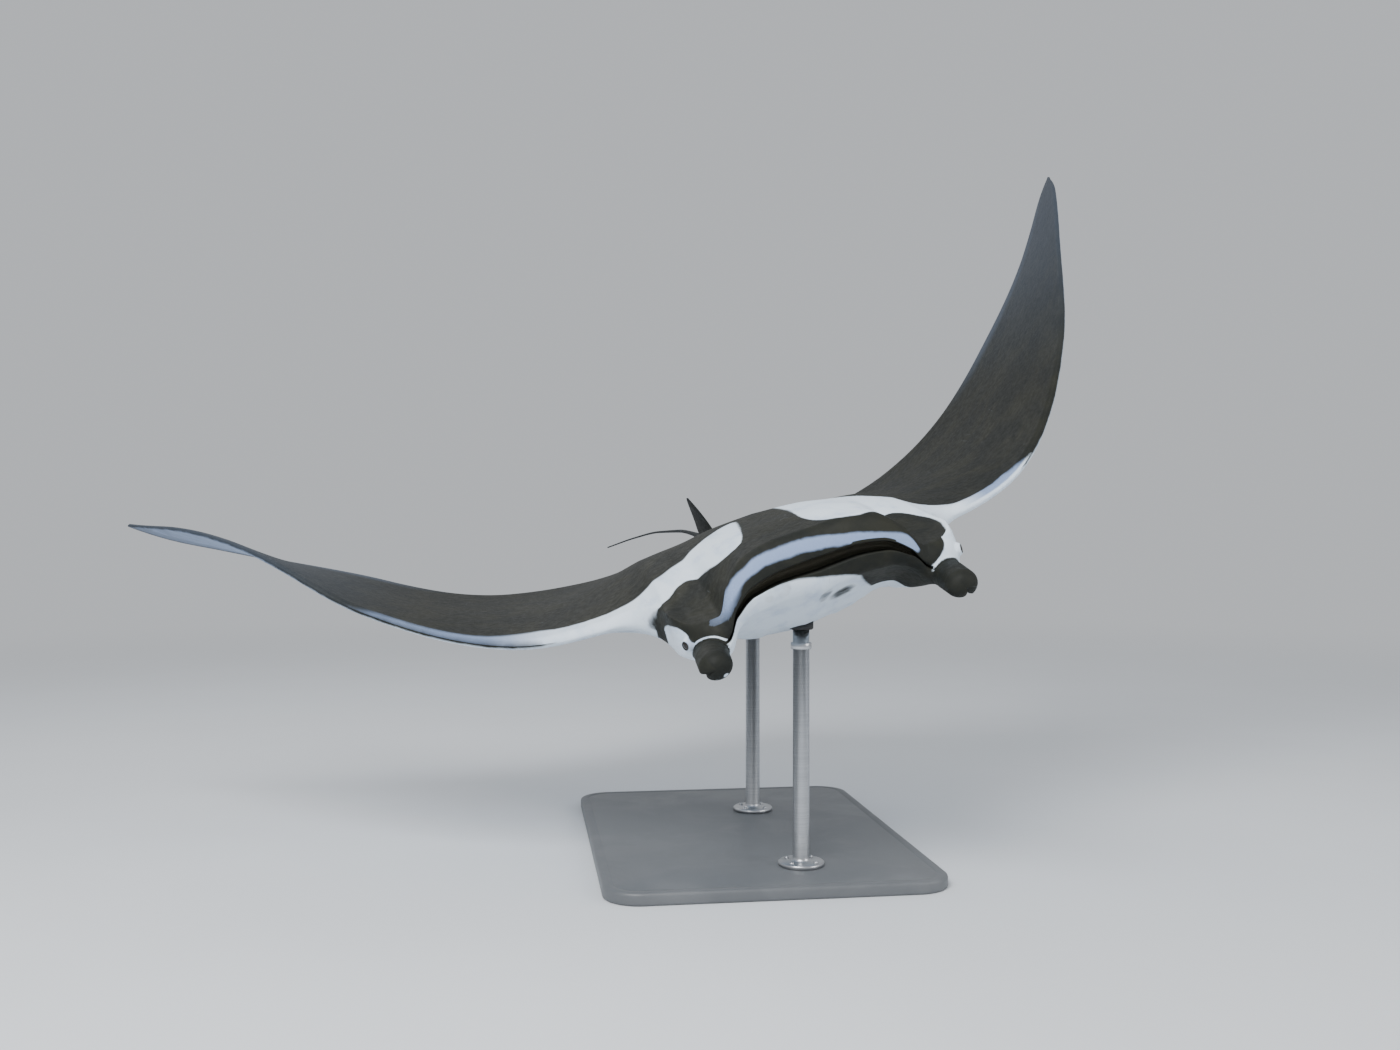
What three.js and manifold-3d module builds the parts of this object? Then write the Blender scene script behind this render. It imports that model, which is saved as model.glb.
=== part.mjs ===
// Manta ray: a life-size still model on a plain display stand.
// Millimetres, +Z up. The animal faces -Y and +X is its left. The origin is the centre of the stand's foot.
//
// The body is drawn in a flat frame: x across, y back from the snout, z over the wing plane. Its wings are
// then lifted, twisted and swept into the swimming frame, and one group banks the animal over its stand.
import * as THREE from "three";
import { mergeVertices } from "three/addons/utils/BufferGeometryUtils.js";
import Module from "manifold-3d";

const wasm = await Module();
wasm.setup();

// ---- driving sizes -------------------------------------------------------------------------
const HALF_SPAN = 2300; // half the disc width
const GAP = 0.3; // clear space between neighbouring solids

// Front rim of the disc, from the middle of the mouth to the wing.
const MOUTH = { x: 320, y: -75, middleY: -60, depth: 95, end: 0.99, roundness: 0.45 };
const CHEEK = { x: 450, y: 120, power: 2.2 };
const NOTCH = { x: 610, y: 400, power: 1.1 };
const LEAD_EDGE = {
  at: [NOTCH.x, 700, 1000, 1400, 1800, 2100, HALF_SPAN],
  is: [NOTCH.y, 436, 518, 680, 950, 1280, 1705],
};
const TRAIL_EDGE = {
  at: [0, 120, 250, 500, 800, 1200, 1600, 2000, 2200, HALF_SPAN],
  is: [2060, 2050, 2020, 1900, 1720, 1580, 1540, 1600, 1680, 1735],
};

// Stations u along the front rim: 0-1 mouth, 1-2 cheek, 2-3 neck notch, 3-4 wing.
const REAR_X = { at: [0, 1, 2, 3], is: [0, 160, 340, NOTCH.x] };
const NOSE_AT = [0, 0.6, 1, 1.5, 2, 2.6, 3, 3.3, 3.65, 4];
const NOSE_UP = { at: NOSE_AT, is: [78, 75, 68, 72, 68, 38, 23, 17, 11, 6] };
const NOSE_LOW = { at: NOSE_AT, is: [95, 78, 40, 37, 48, 28, 15, 13, 10, 6] };
const NOSE_REACH = { at: [0, 1, 2, 3, 4], is: [0.55, 0.75, 0.65, 1.3, 2.0] };
const LIP_UP = { at: [0, 0.6, 0.9, 1.05, 4], is: [-0.02, -0.08, -0.02, 0.02, 0.02] };
const LIP_LOW = { at: [0, 0.5, 0.8, 0.95, 1.05, 4], is: [-0.48, -0.5, -0.46, -0.2, -0.03, -0.03] };
const EDGE_HALF = 4; // half thickness of the trailing edge
const EDGE_THINNING = 1.2; // power by which the nose's thickness dies away behind it
const FLANK_SPACING = 1.35; // power that crowds a section's points towards the nose

// Back and belly, as shares across the span and along the chord.
const HUMP = 116;
const BELLY = 175;
const SPAN_SHARE = {
  at: [0, 120, 300, 500, 750, 1050, 1500, HALF_SPAN],
  is: [1, 0.96, 0.8, 0.52, 0.25, 0.1, 0.03, 0],
};
const BACK_SHARE = { at: [0, 0.05, 0.16, 0.38, 0.62, 0.82, 1], is: [0, 0.12, 0.55, 1, 0.72, 0.34, 0] };
const BELLY_SHARE = { at: [0, 0.06, 0.18, 0.36, 0.62, 0.85, 1], is: [0, 0.2, 0.66, 1, 0.72, 0.28, 0] };
const HEAD_ARCH = {
  at: [0, 100, 200, 270, 320, 390, 455, 600, 850],
  is: [60, 62, 46, -8, -85, -88, -60, -10, 0],
};
const ARCH_FADE = { from: -60, over: 420 };

// How the wings swim: lift in degrees along the span, twist in degrees about one line across, and sweep in
// mm back per square mm out.
const LIFT_AT = [0, 420, 700, 1000, 1300, 1700, 2050, HALF_SPAN];
const TWIST_AT = [0, 450, 900, 1400, 1900, HALF_SPAN];
const TWIST_LINE_Y = 1150;
const SWEEP_FROM = 400;
const SWIM = {
  left: {
    lift: [0, 0, 15.3, 37.7, 48.5, 56, 60.1, 53.4],
    twist: [0, 0, 3, -0.6, -10, -14.4],
    sweep: 6e-6,
  },
  right: {
    lift: [0, 0, 5.1, 21.6, 32.6, 39, 39.9, 53.6],
    twist: [0, 0, 3.1, 2.2, -8.3, -15.7],
    sweep: -86e-6,
  },
};
const LINE_STEPS = 230; // steps in which a wing's line is walked out
const HEAD_ROLL = { slope: 0.03, from: 500, over: 400 };
const BANK = 17; // degrees, left side up
const PITCH = 1.85; // degrees, nose down
const PLACE = new THREE.Vector3(60, -930, 1000); // the flat frame's origin over the stand

// Where the body is parted.
const HEAD_END = 350;
const WING_ROOT = 760;
const WING_MIDDLE = 1450;

const LOBE = { across: 45, high: 40, rootSwell: 0.06, nose: 42, noseRings: [0.35, 0.62, 0.84, 0.97] };
const LOBE_ENDS = {
  left: { root: [366, 50, -100], tip: [350, -172, -132] },
  right: { root: [-362, 50, -97], tip: [-384, -176, -117] },
};
const EYE = { radius: 20, sink: 6, rise: 10, station: 1.57, rimStep: 0.05 };
const DORSAL = {
  front: 1850,
  chord: 228,
  tipChord: 14,
  height: 185,
  sweep: 178,
  thick: 26,
  z: 36,
  lean: -20,
  rake: 1.1, // how the leading edge curves back
  taper: 0.8, // how the chord shortens upwards
  tipThinning: 0.7,
  yaw: 0.17, // sideways per mm back, which turns the fin a little
};
const TAIL = {
  way: [[0, 2025, 16], [-14, 2220, 36], [-52, 2500, 56], [-112, 2850, 56], [-208, 3220, 38], [-335, 3560, 8]],
  radius: { at: [0, 0.05, 0.12, 0.2, 0.35, 0.6, 1], is: [24, 17, 12, 9, 7, 5, 3.5] },
  parted: [0.34, 0.68],
};
const PELVIC = {
  x: 46,
  y: 1965,
  chord: 132,
  width: 92,
  sweep: 66,
  thick: 16,
  z: -6,
  bulge: 0.25, // how much the rear edge swells in the middle
  trim: 20, // how much shorter the tip is
  tipThinning: 0.6,
};
const BLADE = { edgeHalf: 0.6, fullness: 0.95 };
const STAND = { width: 1100, length: 1500, thick: 40, corner: 120, bevel: 4 };
const ROD = { radius: 30, reach: 60, foot: 75, footThick: 14, sides: 24, y: { front: 430, rear: 1250 } };

// How finely the solids are faceted.
const FACETS = { flank: 9, nose: 4, mouth: 5, lobe: 14, tail: 10, eye: [16, 10] };

const FINISHES = {
  head: { color: 0x22251f, roughness: 0.5 },
  trunk: { color: 0x22251f, roughness: 0.5 },
  pectoral: { color: 0x262a27, roughness: 0.5 },
  cephalic: { color: 0x171916, roughness: 0.45 },
  eye: { color: 0x0a0b0c, roughness: 0.12 },
  dorsal: { color: 0x1e211f, roughness: 0.5 },
  tail: { color: 0x1b1e1d, roughness: 0.5 },
  pelvic: { color: 0x2a2e2c, roughness: 0.5 },
  stand: { color: 0x6f7376, roughness: 0.4 },
};

// ---- curves --------------------------------------------------------------------------------
const { degToRad, clamp, smoothstep } = THREE.MathUtils;

function range(from, to, count) {
  return Array.from({ length: count + 1 }, (_, k) => from + ((to - from) * k) / count);
}

// Slope of a table's curve at knot k: the harmonic mean of its neighbours, or flat at a turning point.
function knotSlope({ at, is }, k) {
  const rise = (i) => (is[i + 1] - is[i]) / (at[i + 1] - at[i]);
  const last = at.length - 1;
  if (k === 0) return rise(0);
  if (k === last) return rise(last - 1);
  const before = rise(k - 1);
  const after = rise(k);
  if (before * after <= 0) return 0;
  const near = 2 * (at[k + 1] - at[k]) + (at[k] - at[k - 1]);
  const far = (at[k + 1] - at[k]) + 2 * (at[k] - at[k - 1]);
  return (near + far) / (near / before + far / after);
}

// A smooth curve through a table of values that never overshoots them.
function curve(table, x) {
  const { at, is } = table;
  const last = at.length - 1;
  const q = clamp(x, at[0], at[last]);
  let i = 0;
  while (i < last - 1 && q >= at[i + 1]) i += 1;
  const step = at[i + 1] - at[i];
  const t = (q - at[i]) / step;
  const ease = t * t * (3 - 2 * t);
  const leave = step * knotSlope(table, i) * t * (1 - t) ** 2;
  const arrive = step * knotSlope(table, i + 1) * t * t * (t - 1);
  return is[i] * (1 - ease) + is[i + 1] * ease + leave + arrive;
}

// ---- the body in its flat frame ------------------------------------------------------------
function frontRim(u) {
  if (u < 1) return [MOUTH.x * u, MOUTH.middleY + (MOUTH.y - MOUTH.middleY) * u * u];
  if (u < 2) {
    const turn = ((u - 1) * Math.PI) / 2;
    const power = 2 / CHEEK.power;
    return [
      MOUTH.x + (CHEEK.x - MOUTH.x) * Math.sin(turn) ** power,
      MOUTH.y + (CHEEK.y - MOUTH.y) * (1 - Math.max(Math.cos(turn), 0) ** power),
    ];
  }
  if (u < 3) {
    const turn = ((u - 2) * Math.PI) / 2;
    return [
      NOTCH.x - (NOTCH.x - CHEEK.x) * Math.cos(turn),
      CHEEK.y + (NOTCH.y - CHEEK.y) * Math.sin(turn) ** NOTCH.power,
    ];
  }
  const x = NOTCH.x + (HALF_SPAN - NOTCH.x) * (u - 3);
  return [x, curve(LEAD_EDGE, x)];
}

// The head's arch fades out behind the snout.
const archFade = (y) => Math.exp(-((Math.max(y - ARCH_FADE.from, 0) / ARCH_FADE.over) ** 2));

// The side's points at station u, as one closed loop: trailing edge, back, nose, mouth, chin, belly.
function section(u) {
  const [frontX, frontY] = frontRim(u);
  const rearX = u > 3 ? frontX : curve(REAR_X, u);
  const runX = rearX - frontX;
  const runY = curve(TRAIL_EDGE, rearX) - frontY;
  const up = curve(NOSE_UP, u);
  const low = curve(NOSE_LOW, u);
  const noseEnd = (0.5 * (up + low) * curve(NOSE_REACH, u)) / Math.hypot(runX, runY);
  const lipUp = curve(LIP_UP, u);
  const lipLow = curve(LIP_LOW, u);
  const open = Math.sqrt(Math.max(0, 1 - (u / MOUTH.end) ** 2));
  const loop = [];
  // v runs from the rim to the rear, angle goes round the nose from its top to its underside.
  const put = (v, angle, inward) => {
    const x = frontX + runX * v;
    const y = frontY + runY * v + inward;
    const half = angle > 0 ? up : low;
    const thin = (1 - smoothstep(v, noseEnd, 1)) ** EDGE_THINNING;
    const edge = EDGE_HALF / half;
    const bulk = angle > 0 ? HUMP * curve(BACK_SHARE, v) : -BELLY * curve(BELLY_SHARE, v);
    const z = half * Math.sin(angle) * (edge + (1 - edge) * thin) + bulk * curve(SPAN_SHARE, x);
    loop.push([x, y, z + curve(HEAD_ARCH, x) * archFade(y)]);
  };
  const flank = (k) => noseEnd + (1 - noseEnd) * (k / FACETS.flank) ** FLANK_SPACING;
  const nose = (angle, inward = 0) => put(noseEnd * (1 - Math.cos(angle)), angle, inward);
  const top = Math.PI / 2;
  for (let k = FACETS.flank; k >= 0; k -= 1) put(flank(k), top, 0);
  for (let k = 1; k <= FACETS.nose; k += 1) nose(top + ((lipUp - top) * k) / FACETS.nose);
  for (let k = 1; k < FACETS.mouth; k += 1) {
    const t = k / FACETS.mouth;
    nose(lipUp + (lipLow - lipUp) * t, MOUTH.depth * open * Math.sin(Math.PI * t) ** MOUTH.roundness);
  }
  for (let k = 0; k < FACETS.nose; k += 1) nose(lipLow + ((-top - lipLow) * k) / FACETS.nose);
  for (let k = 0; k <= FACETS.flank; k += 1) put(flank(k), -top, 0);
  return loop;
}

// ---- from the flat frame to the swimming frame ---------------------------------------------
// The wing's line seen from the front, walked out in small steps along its own length.
function wingLine(lift) {
  const step = HALF_SPAN / LINE_STEPS;
  const points = [[0, 0]];
  for (let k = 0; k < LINE_STEPS; k += 1) {
    const angle = curve(lift, (k + 0.5) * step);
    const [x, z] = points[k];
    points.push([x + Math.cos(angle) * step, z + Math.sin(angle) * step]);
  }
  return (out) => {
    const q = clamp(out / step, 0, LINE_STEPS - 1e-9);
    const k = Math.floor(q);
    const mix = (i) => points[k][i] + (points[k + 1][i] - points[k][i]) * (q - k);
    return [mix(0), mix(1)];
  };
}

function swimmer({ lift, twist, sweep }, sign) {
  const liftTable = { at: LIFT_AT, is: lift.map(degToRad) };
  const twistTable = { at: TWIST_AT, is: twist.map(degToRad) };
  const line = wingLine(liftTable);
  return ([x, y, z]) => {
    const out = Math.abs(x);
    const [lineX, lineZ] = line(out);
    const lifted = curve(liftTable, out);
    const twisted = curve(twistTable, out);
    const rollFade = 1 - smoothstep(out, HEAD_ROLL.from, HEAD_ROLL.from + HEAD_ROLL.over);
    const level = z + x * HEAD_ROLL.slope * archFade(y) * rollFade;
    const back = y - TWIST_LINE_Y;
    const along = TWIST_LINE_Y + back * Math.cos(twisted) - level * Math.sin(twisted);
    const above = back * Math.sin(twisted) + level * Math.cos(twisted);
    return [
      sign * (lineX - above * Math.sin(lifted)),
      along + sweep * Math.max(out - SWEEP_FROM, 0) ** 2,
      lineZ + above * Math.cos(lifted),
    ];
  };
}

const swimLeft = swimmer(SWIM.left, 1);
const swimRight = swimmer(SWIM.right, -1);
const swim = (point) => (point[0] < 0 ? swimRight(point) : swimLeft(point));

// ---- solids --------------------------------------------------------------------------------
// A closed geometry as a solid that can be cut and joined.
function solidOf(geometry) {
  const bare = geometry.clone();
  bare.deleteAttribute("normal");
  bare.deleteAttribute("uv");
  const merged = mergeVertices(bare, 1e-3);
  return new wasm.Manifold(new wasm.Mesh({
    numProp: 3,
    vertProperties: merged.attributes.position.array,
    triVerts: new Uint32Array(merged.index.array),
  }));
}

// Skin over a row of closed loops of equal count, capped at both ends by pairing points across each loop.
function loftGeometry(loops) {
  const n = loops[0].length;
  const faces = [];
  for (let i = 0; i + 1 < loops.length; i += 1) {
    for (let j = 0; j < n; j += 1) {
      const k = (j + 1) % n;
      faces.push([i * n + j, (i + 1) * n + j, (i + 1) * n + k], [i * n + j, (i + 1) * n + k, i * n + k]);
    }
  }
  const cap = (first, flip) => {
    for (let j = 0; j + 1 < n - 1 - j; j += 1) {
      const far = n - 1 - j;
      const strip = j + 1 < far - 1 ? [[j, j + 1, far - 1], [j, far - 1, far]] : [[j, j + 1, far]];
      for (const corners of strip) {
        const [a, b, c] = corners.map((corner) => first + corner);
        faces.push(flip ? [a, c, b] : [a, b, c]);
      }
    }
  };
  cap(0, false);
  cap((loops.length - 1) * n, true);
  const geometry = new THREE.BufferGeometry();
  geometry.setAttribute("position", new THREE.Float32BufferAttribute(loops.flat(2), 3));
  geometry.setIndex(faces.flat());
  return geometry;
}

// A loft whose loops may run either way round: the way that faces out is kept.
function loft(loops) {
  const forward = solidOf(loftGeometry(loops));
  return forward.volume() > 0 ? forward : solidOf(loftGeometry(loops.slice().reverse()));
}

// A solid and its copies moved each way by the gap: a cutter that leaves clear space round the solid.
function grown(solid) {
  const moves = [[GAP, 0, 0], [-GAP, 0, 0], [0, GAP, 0], [0, -GAP, 0], [0, 0, GAP], [0, 0, -GAP]];
  return moves.map((move) => solid.translate(move)).reduce((all, one) => all.add(one));
}

const mirrored = (loop, sign) => loop.map(([x, y, z]) => [sign * x, y, z]);
const stationAt = (x) => 3 + (x - NOTCH.x) / (HALF_SPAN - NOTCH.x);

function middleBody() {
  const side = [
    ...range(0, 0.8, 5),
    ...range(0.88, 1, 2),
    ...range(1, 2, 5).slice(1),
    ...range(2, 3, 4).slice(1),
    ...range(3, stationAt(WING_ROOT), 2).slice(1),
  ];
  const right = side.slice(1).reverse().map((u) => mirrored(section(u), -1));
  const left = side.map((u) => section(u));
  return loft([...right, ...left].map((loop) => loop.map(swim)));
}

function wing(from, to, steps, sign) {
  const stations = range(stationAt(from), stationAt(to), steps);
  return loft(stations.map((u) => mirrored(section(u), sign).map(swim)));
}

// A rolled cephalic fin: a turned shape, round-nosed, flattened a little and aimed along its axis.
function lobe({ root, tip }) {
  const start = new THREE.Vector3(...swim(root));
  const end = new THREE.Vector3(...swim(tip));
  const length = start.distanceTo(end);
  const shaft = range(0, 1, 3).map((t) => (
    new THREE.Vector2(LOBE.across * (1 + LOBE.rootSwell * (1 - t)), length * t)
  ));
  const nose = LOBE.noseRings.map((t) => (
    new THREE.Vector2(LOBE.across * Math.sqrt(1 - t * t), length + LOBE.nose * t)
  ));
  const profile = [new THREE.Vector2(0, 0), ...shaft, ...nose, new THREE.Vector2(0, length + LOBE.nose)];
  const geometry = new THREE.LatheGeometry(profile, FACETS.lobe);
  geometry.scale(1, 1, LOBE.high / LOBE.across);
  const forward = end.clone().sub(start).normalize();
  const across = new THREE.Vector3(1, 0, 0).addScaledVector(forward, -forward.x).normalize();
  const upward = new THREE.Vector3().crossVectors(across, forward);
  geometry.applyMatrix4(new THREE.Matrix4().makeBasis(across, forward, upward).setPosition(start));
  return solidOf(geometry);
}

const tailLine = new THREE.CatmullRomCurve3(TAIL.way.map((point) => new THREE.Vector3(...point)));

function tailLength(from, to, steps) {
  const rings = range(from, to, steps).map((t) => {
    const middle = tailLine.getPointAt(t);
    const along = tailLine.getTangentAt(t);
    const across = new THREE.Vector3(0, 0, 1).cross(along).normalize();
    const upward = new THREE.Vector3().crossVectors(along, across);
    const radius = curve(TAIL.radius, t);
    return range(0, 2 * Math.PI, FACETS.tail).slice(1).map((turn) => (
      middle.clone()
        .addScaledVector(across, radius * Math.cos(turn))
        .addScaledVector(upward, radius * Math.sin(turn))
        .toArray()
    ));
  });
  return loft(rings.map((ring) => ring.map(swim)));
}

// A fin from pointed-oval slices. place(s, t, h) is the point s along the chord and t through it at height h.
function bladeFin(heights, chordAt, thickAt, count, place) {
  const loops = heights.map((h) => {
    const [front, rear] = chordAt(h);
    const half = range(1, 0, count).map((v) => [
      front + (rear - front) * v,
      BLADE.edgeHalf + BLADE.fullness * thickAt(h) * Math.sqrt(v) * (1 - v),
    ]);
    const lower = half.slice().reverse().map(([s, t]) => [s, -t]);
    return [...half, ...lower].map(([s, t]) => swim(place(s, t, h)));
  });
  return loft(loops);
}

function dorsalFin() {
  const chordAt = (h) => {
    const front = DORSAL.front + DORSAL.sweep * h ** DORSAL.rake;
    return [front, front + DORSAL.chord * (1 - h) ** DORSAL.taper + DORSAL.tipChord];
  };
  const thickAt = (h) => DORSAL.thick * (1 - DORSAL.tipThinning * h);
  const middle = DORSAL.front + DORSAL.chord / 2;
  const place = (s, t, h) => [
    t + DORSAL.lean * h * h - DORSAL.yaw * (s - middle),
    s,
    DORSAL.z + DORSAL.height * h,
  ];
  return bladeFin([0, 0.25, 0.5, 0.75, 0.9, 1], chordAt, thickAt, 7, place);
}

function pelvicFin(sign) {
  const chordAt = (h) => [
    PELVIC.y + PELVIC.sweep * h,
    PELVIC.y + PELVIC.chord * (1 + PELVIC.bulge * Math.sin(Math.PI * h)) - PELVIC.trim * h * h,
  ];
  const thickAt = (h) => PELVIC.thick * (1 - PELVIC.tipThinning * h);
  const place = (s, t, h) => [sign * (PELVIC.x + PELVIC.width * h), s, PELVIC.z + t];
  return bladeFin([0, 0.3, 0.6, 0.85, 1], chordAt, thickAt, 5, place);
}

// Centre of the eyeball, sunk a little under the cheek's rim.
function eyeCentre(sign) {
  const [x, y] = frontRim(EYE.station);
  const [beforeX, beforeY] = frontRim(EYE.station - EYE.rimStep);
  const [afterX, afterY] = frontRim(EYE.station + EYE.rimStep);
  const outward = new THREE.Vector2(afterY - beforeY, beforeX - afterX).normalize();
  const z = curve(HEAD_ARCH, x) * archFade(y) + EYE.rise;
  return swim([sign * (x - outward.x * EYE.sink), y - outward.y * EYE.sink, z]);
}

const eyeball = (extra) => new THREE.SphereGeometry(EYE.radius + extra, ...FACETS.eye);

function standBase() {
  const { width, length, corner, bevel, thick } = STAND;
  const x = width / 2 - bevel;
  const y = length / 2 - bevel;
  const r = corner - bevel;
  const outline = new THREE.Shape();
  outline.absarc(x - r, y - r, r, 0, Math.PI / 2);
  outline.absarc(r - x, y - r, r, Math.PI / 2, Math.PI);
  outline.absarc(r - x, r - y, r, Math.PI, 1.5 * Math.PI);
  outline.absarc(x - r, r - y, r, 1.5 * Math.PI, 2 * Math.PI);
  const geometry = new THREE.ExtrudeGeometry(outline, {
    depth: thick - 2 * bevel,
    bevelThickness: bevel,
    bevelSize: bevel,
    bevelSegments: 1,
    curveSegments: 6,
  });
  return geometry.translate(0, 0, bevel);
}

// ---- assembly ------------------------------------------------------------------------------
const animal = new THREE.Group();
animal.position.copy(PLACE);
animal.rotation.set(degToRad(PITCH), -degToRad(BANK), 0, "YXZ");
animal.updateMatrix();
const stand = new THREE.Group();
const ray = new THREE.Group();
ray.name = "manta_ray";
ray.add(animal, stand);

function addMesh(group, name, geometry, position = [0, 0, 0]) {
  const material = new THREE.MeshStandardMaterial({
    ...FINISHES[name.split("_")[0]],
    metalness: 0,
    flatShading: true,
  });
  const mesh = new THREE.Mesh(geometry, material);
  mesh.name = name;
  mesh.position.set(...position);
  group.add(mesh);
}

// A cut solid as a geometry: its largest piece, without slivers.
function geometryOf(solid) {
  const [largest] = solid.decompose().sort((a, b) => b.volume() - a.volume());
  const { numProp, vertProperties, triVerts } = largest.getMesh();
  const geometry = new THREE.BufferGeometry();
  geometry.setAttribute("position", new THREE.Float32BufferAttribute(vertProperties, numProp));
  geometry.setIndex(Array.from(triVerts));
  const faceted = geometry.toNonIndexed();
  faceted.computeVertexNormals();
  return faceted;
}

// Half of space on one side of a plane across the body.
function halfSpace(y, towards) {
  const size = 3 * HALF_SPAN;
  return solidOf(new THREE.BoxGeometry(size, size, size).translate(0, y + (towards * size) / 2, 0));
}

const whole = middleBody();
const head = whole.intersect(halfSpace(HEAD_END - GAP / 2, -1));
const trunk = whole.intersect(halfSpace(HEAD_END + GAP / 2, 1));
const eyeCentres = { left: eyeCentre(1), right: eyeCentre(-1) };
const sockets = Object.values(eyeCentres)
  .map((centre) => solidOf(eyeball(GAP)).translate(centre))
  .reduce((all, one) => all.add(one));
const aroundHead = grown(head).add(sockets);
const aroundTrunk = grown(trunk);

addMesh(animal, "head", geometryOf(head.subtract(sockets)));
addMesh(animal, "trunk", geometryOf(trunk));
for (const [side, sign] of [["left", 1], ["right", -1]]) {
  const inner = wing(WING_ROOT + GAP, WING_MIDDLE - GAP, 6, sign);
  const outer = wing(WING_MIDDLE, HALF_SPAN, 9, sign);
  addMesh(animal, `pectoral_fin_${side}_inner`, geometryOf(inner));
  addMesh(animal, `pectoral_fin_${side}_outer`, geometryOf(outer));
  addMesh(animal, `cephalic_fin_${side}`, geometryOf(lobe(LOBE_ENDS[side]).subtract(aroundHead)));
  addMesh(animal, `eye_${side}`, eyeball(0), eyeCentres[side]);
}

const [firstPart, secondPart] = TAIL.parted;
const tailGap = GAP / tailLine.getLength();
const tailRoot = tailLength(0, firstPart, 12).subtract(aroundTrunk);
const aroundTail = aroundTrunk.add(grown(tailRoot));
addMesh(animal, "tail_front", geometryOf(tailRoot));
addMesh(animal, "tail_middle", geometryOf(tailLength(firstPart + tailGap, secondPart, 7)));
addMesh(animal, "tail_tip", geometryOf(tailLength(secondPart + tailGap, 1, 8)));
addMesh(animal, "dorsal_fin", geometryOf(dorsalFin().subtract(aroundTail)));
addMesh(animal, "pelvic_fin_left", geometryOf(pelvicFin(1).subtract(aroundTail)));
addMesh(animal, "pelvic_fin_right", geometryOf(pelvicFin(-1).subtract(aroundTail)));

// Each rod rises from its foot on the base to the belly, whose shape its top takes.
const trunkOnStand = aroundTrunk.transform(animal.matrix.toArray());
addMesh(stand, "stand_base", standBase());
for (const [name, y] of Object.entries(ROD.y)) {
  const belly = new THREE.Vector3(...swim([0, y, -BELLY])).applyMatrix4(animal.matrix);
  const bottom = STAND.thick + GAP;
  const upright = (radius, height) => solidOf(
    new THREE.CylinderGeometry(radius, radius, height, ROD.sides)
      .rotateX(Math.PI / 2)
      .translate(belly.x, belly.y, bottom + height / 2),
  );
  const shaft = upright(ROD.radius, belly.z + ROD.reach - bottom);
  const rod = shaft.add(upright(ROD.foot, ROD.footThick)).subtract(trunkOnStand);
  addMesh(stand, `stand_rod_${name}`, geometryOf(rod));
}

export default ray;
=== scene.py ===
"""Looks for a life-size manta ray model on its display stand.

The animal is drawn in a flat frame in metres: x to its left, y back from the snout, z over the plane of its
wings. The wings are then lifted, twisted and swept, and the whole animal is banked over the stand: that is
the row frame.
"""

from __future__ import annotations

import logging
import math
from collections.abc import Callable
from dataclasses import dataclass, field
from enum import Enum, IntEnum

import bpy
import numpy as np
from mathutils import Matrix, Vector


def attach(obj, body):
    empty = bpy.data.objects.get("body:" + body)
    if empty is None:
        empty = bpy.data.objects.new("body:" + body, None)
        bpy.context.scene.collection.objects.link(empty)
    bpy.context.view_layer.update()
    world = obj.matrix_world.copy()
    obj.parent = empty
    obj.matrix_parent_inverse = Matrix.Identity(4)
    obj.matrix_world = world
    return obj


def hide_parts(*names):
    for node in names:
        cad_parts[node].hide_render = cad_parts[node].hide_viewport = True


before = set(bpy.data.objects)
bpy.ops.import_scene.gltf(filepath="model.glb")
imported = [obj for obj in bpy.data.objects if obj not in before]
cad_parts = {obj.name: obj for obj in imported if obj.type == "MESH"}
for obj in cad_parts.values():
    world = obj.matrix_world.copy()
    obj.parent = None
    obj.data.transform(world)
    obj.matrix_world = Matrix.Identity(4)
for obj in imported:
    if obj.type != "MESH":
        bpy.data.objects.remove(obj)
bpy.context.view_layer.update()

LOG = logging.getLogger("manta_ray")
Array = np.ndarray
Values = dict[str, Array]
Row = tuple[float, ...]
Pairs = tuple[tuple[float, float], ...]
Triple = Tone = tuple[float, float, float]
Piece, Mesh = bpy.types.Object, bpy.types.Mesh
Material, Socket = bpy.types.Material, bpy.types.NodeSocket
OUTSIDE = -0.05  # a depth well outside every pale mark, in metres
CHEEK, NECK, WING = 1.0, 2.0, 3.0  # the stations at which the cheek, the neck and the wing begin


# ---- curves and small sums ------------------------------------------------------------------
@dataclass(frozen=True)
class Curve:
    """A smooth curve through a table of values, which never overshoots them."""

    at: Row
    goes: Row

    def __call__(self, x: Array | float) -> Array:
        """Reads the curve: a cubic between knots, whose slopes are harmonic means of their neighbours.

        Args:
            x: places along the table; they are held to its two ends.

        Returns:
            The curve's values there.
        """
        at, goes = np.asarray(self.at, float), np.asarray(self.goes, float)
        x = np.clip(x, at[0], at[-1])
        step = np.diff(at)
        rise = np.diff(goes) / step
        slope = np.zeros_like(goes)
        slope[0], slope[-1] = rise[0], rise[-1]
        near = 2 * step[1:] + step[:-1]
        far = step[1:] + 2 * step[:-1]
        with np.errstate(divide="ignore", invalid="ignore"):
            mean = (near + far) / (near / rise[:-1] + far / rise[1:])
        slope[1:-1] = np.where(rise[:-1] * rise[1:] > 0, mean, 0)
        i = np.clip(np.searchsorted(at, x, side="right") - 1, 0, len(step) - 1)
        t = (x - at[i]) / step[i]
        ease = t * t * (3 - 2 * t)
        leave = step[i] * slope[i] * t * (1 - t) ** 2
        arrive = step[i] * slope[i + 1] * t * t * (t - 1)
        return goes[i] * (1 - ease) + goes[i + 1] * ease + leave + arrive


def smoothstep(value: Array | float, low: float, high: float) -> Array:
    """Rises from 0 at low to 1 at high along 3t^2 - 2t^3."""
    t = np.clip((np.asarray(value, float) - low) / (high - low), 0, 1)
    return t * t * (3 - 2 * t)


def bell(distance: Array, width: float) -> Array:
    """A bell curve of the given half width: exp of minus the square of distance over width."""
    return np.exp(-((distance / width) ** 2))


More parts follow.
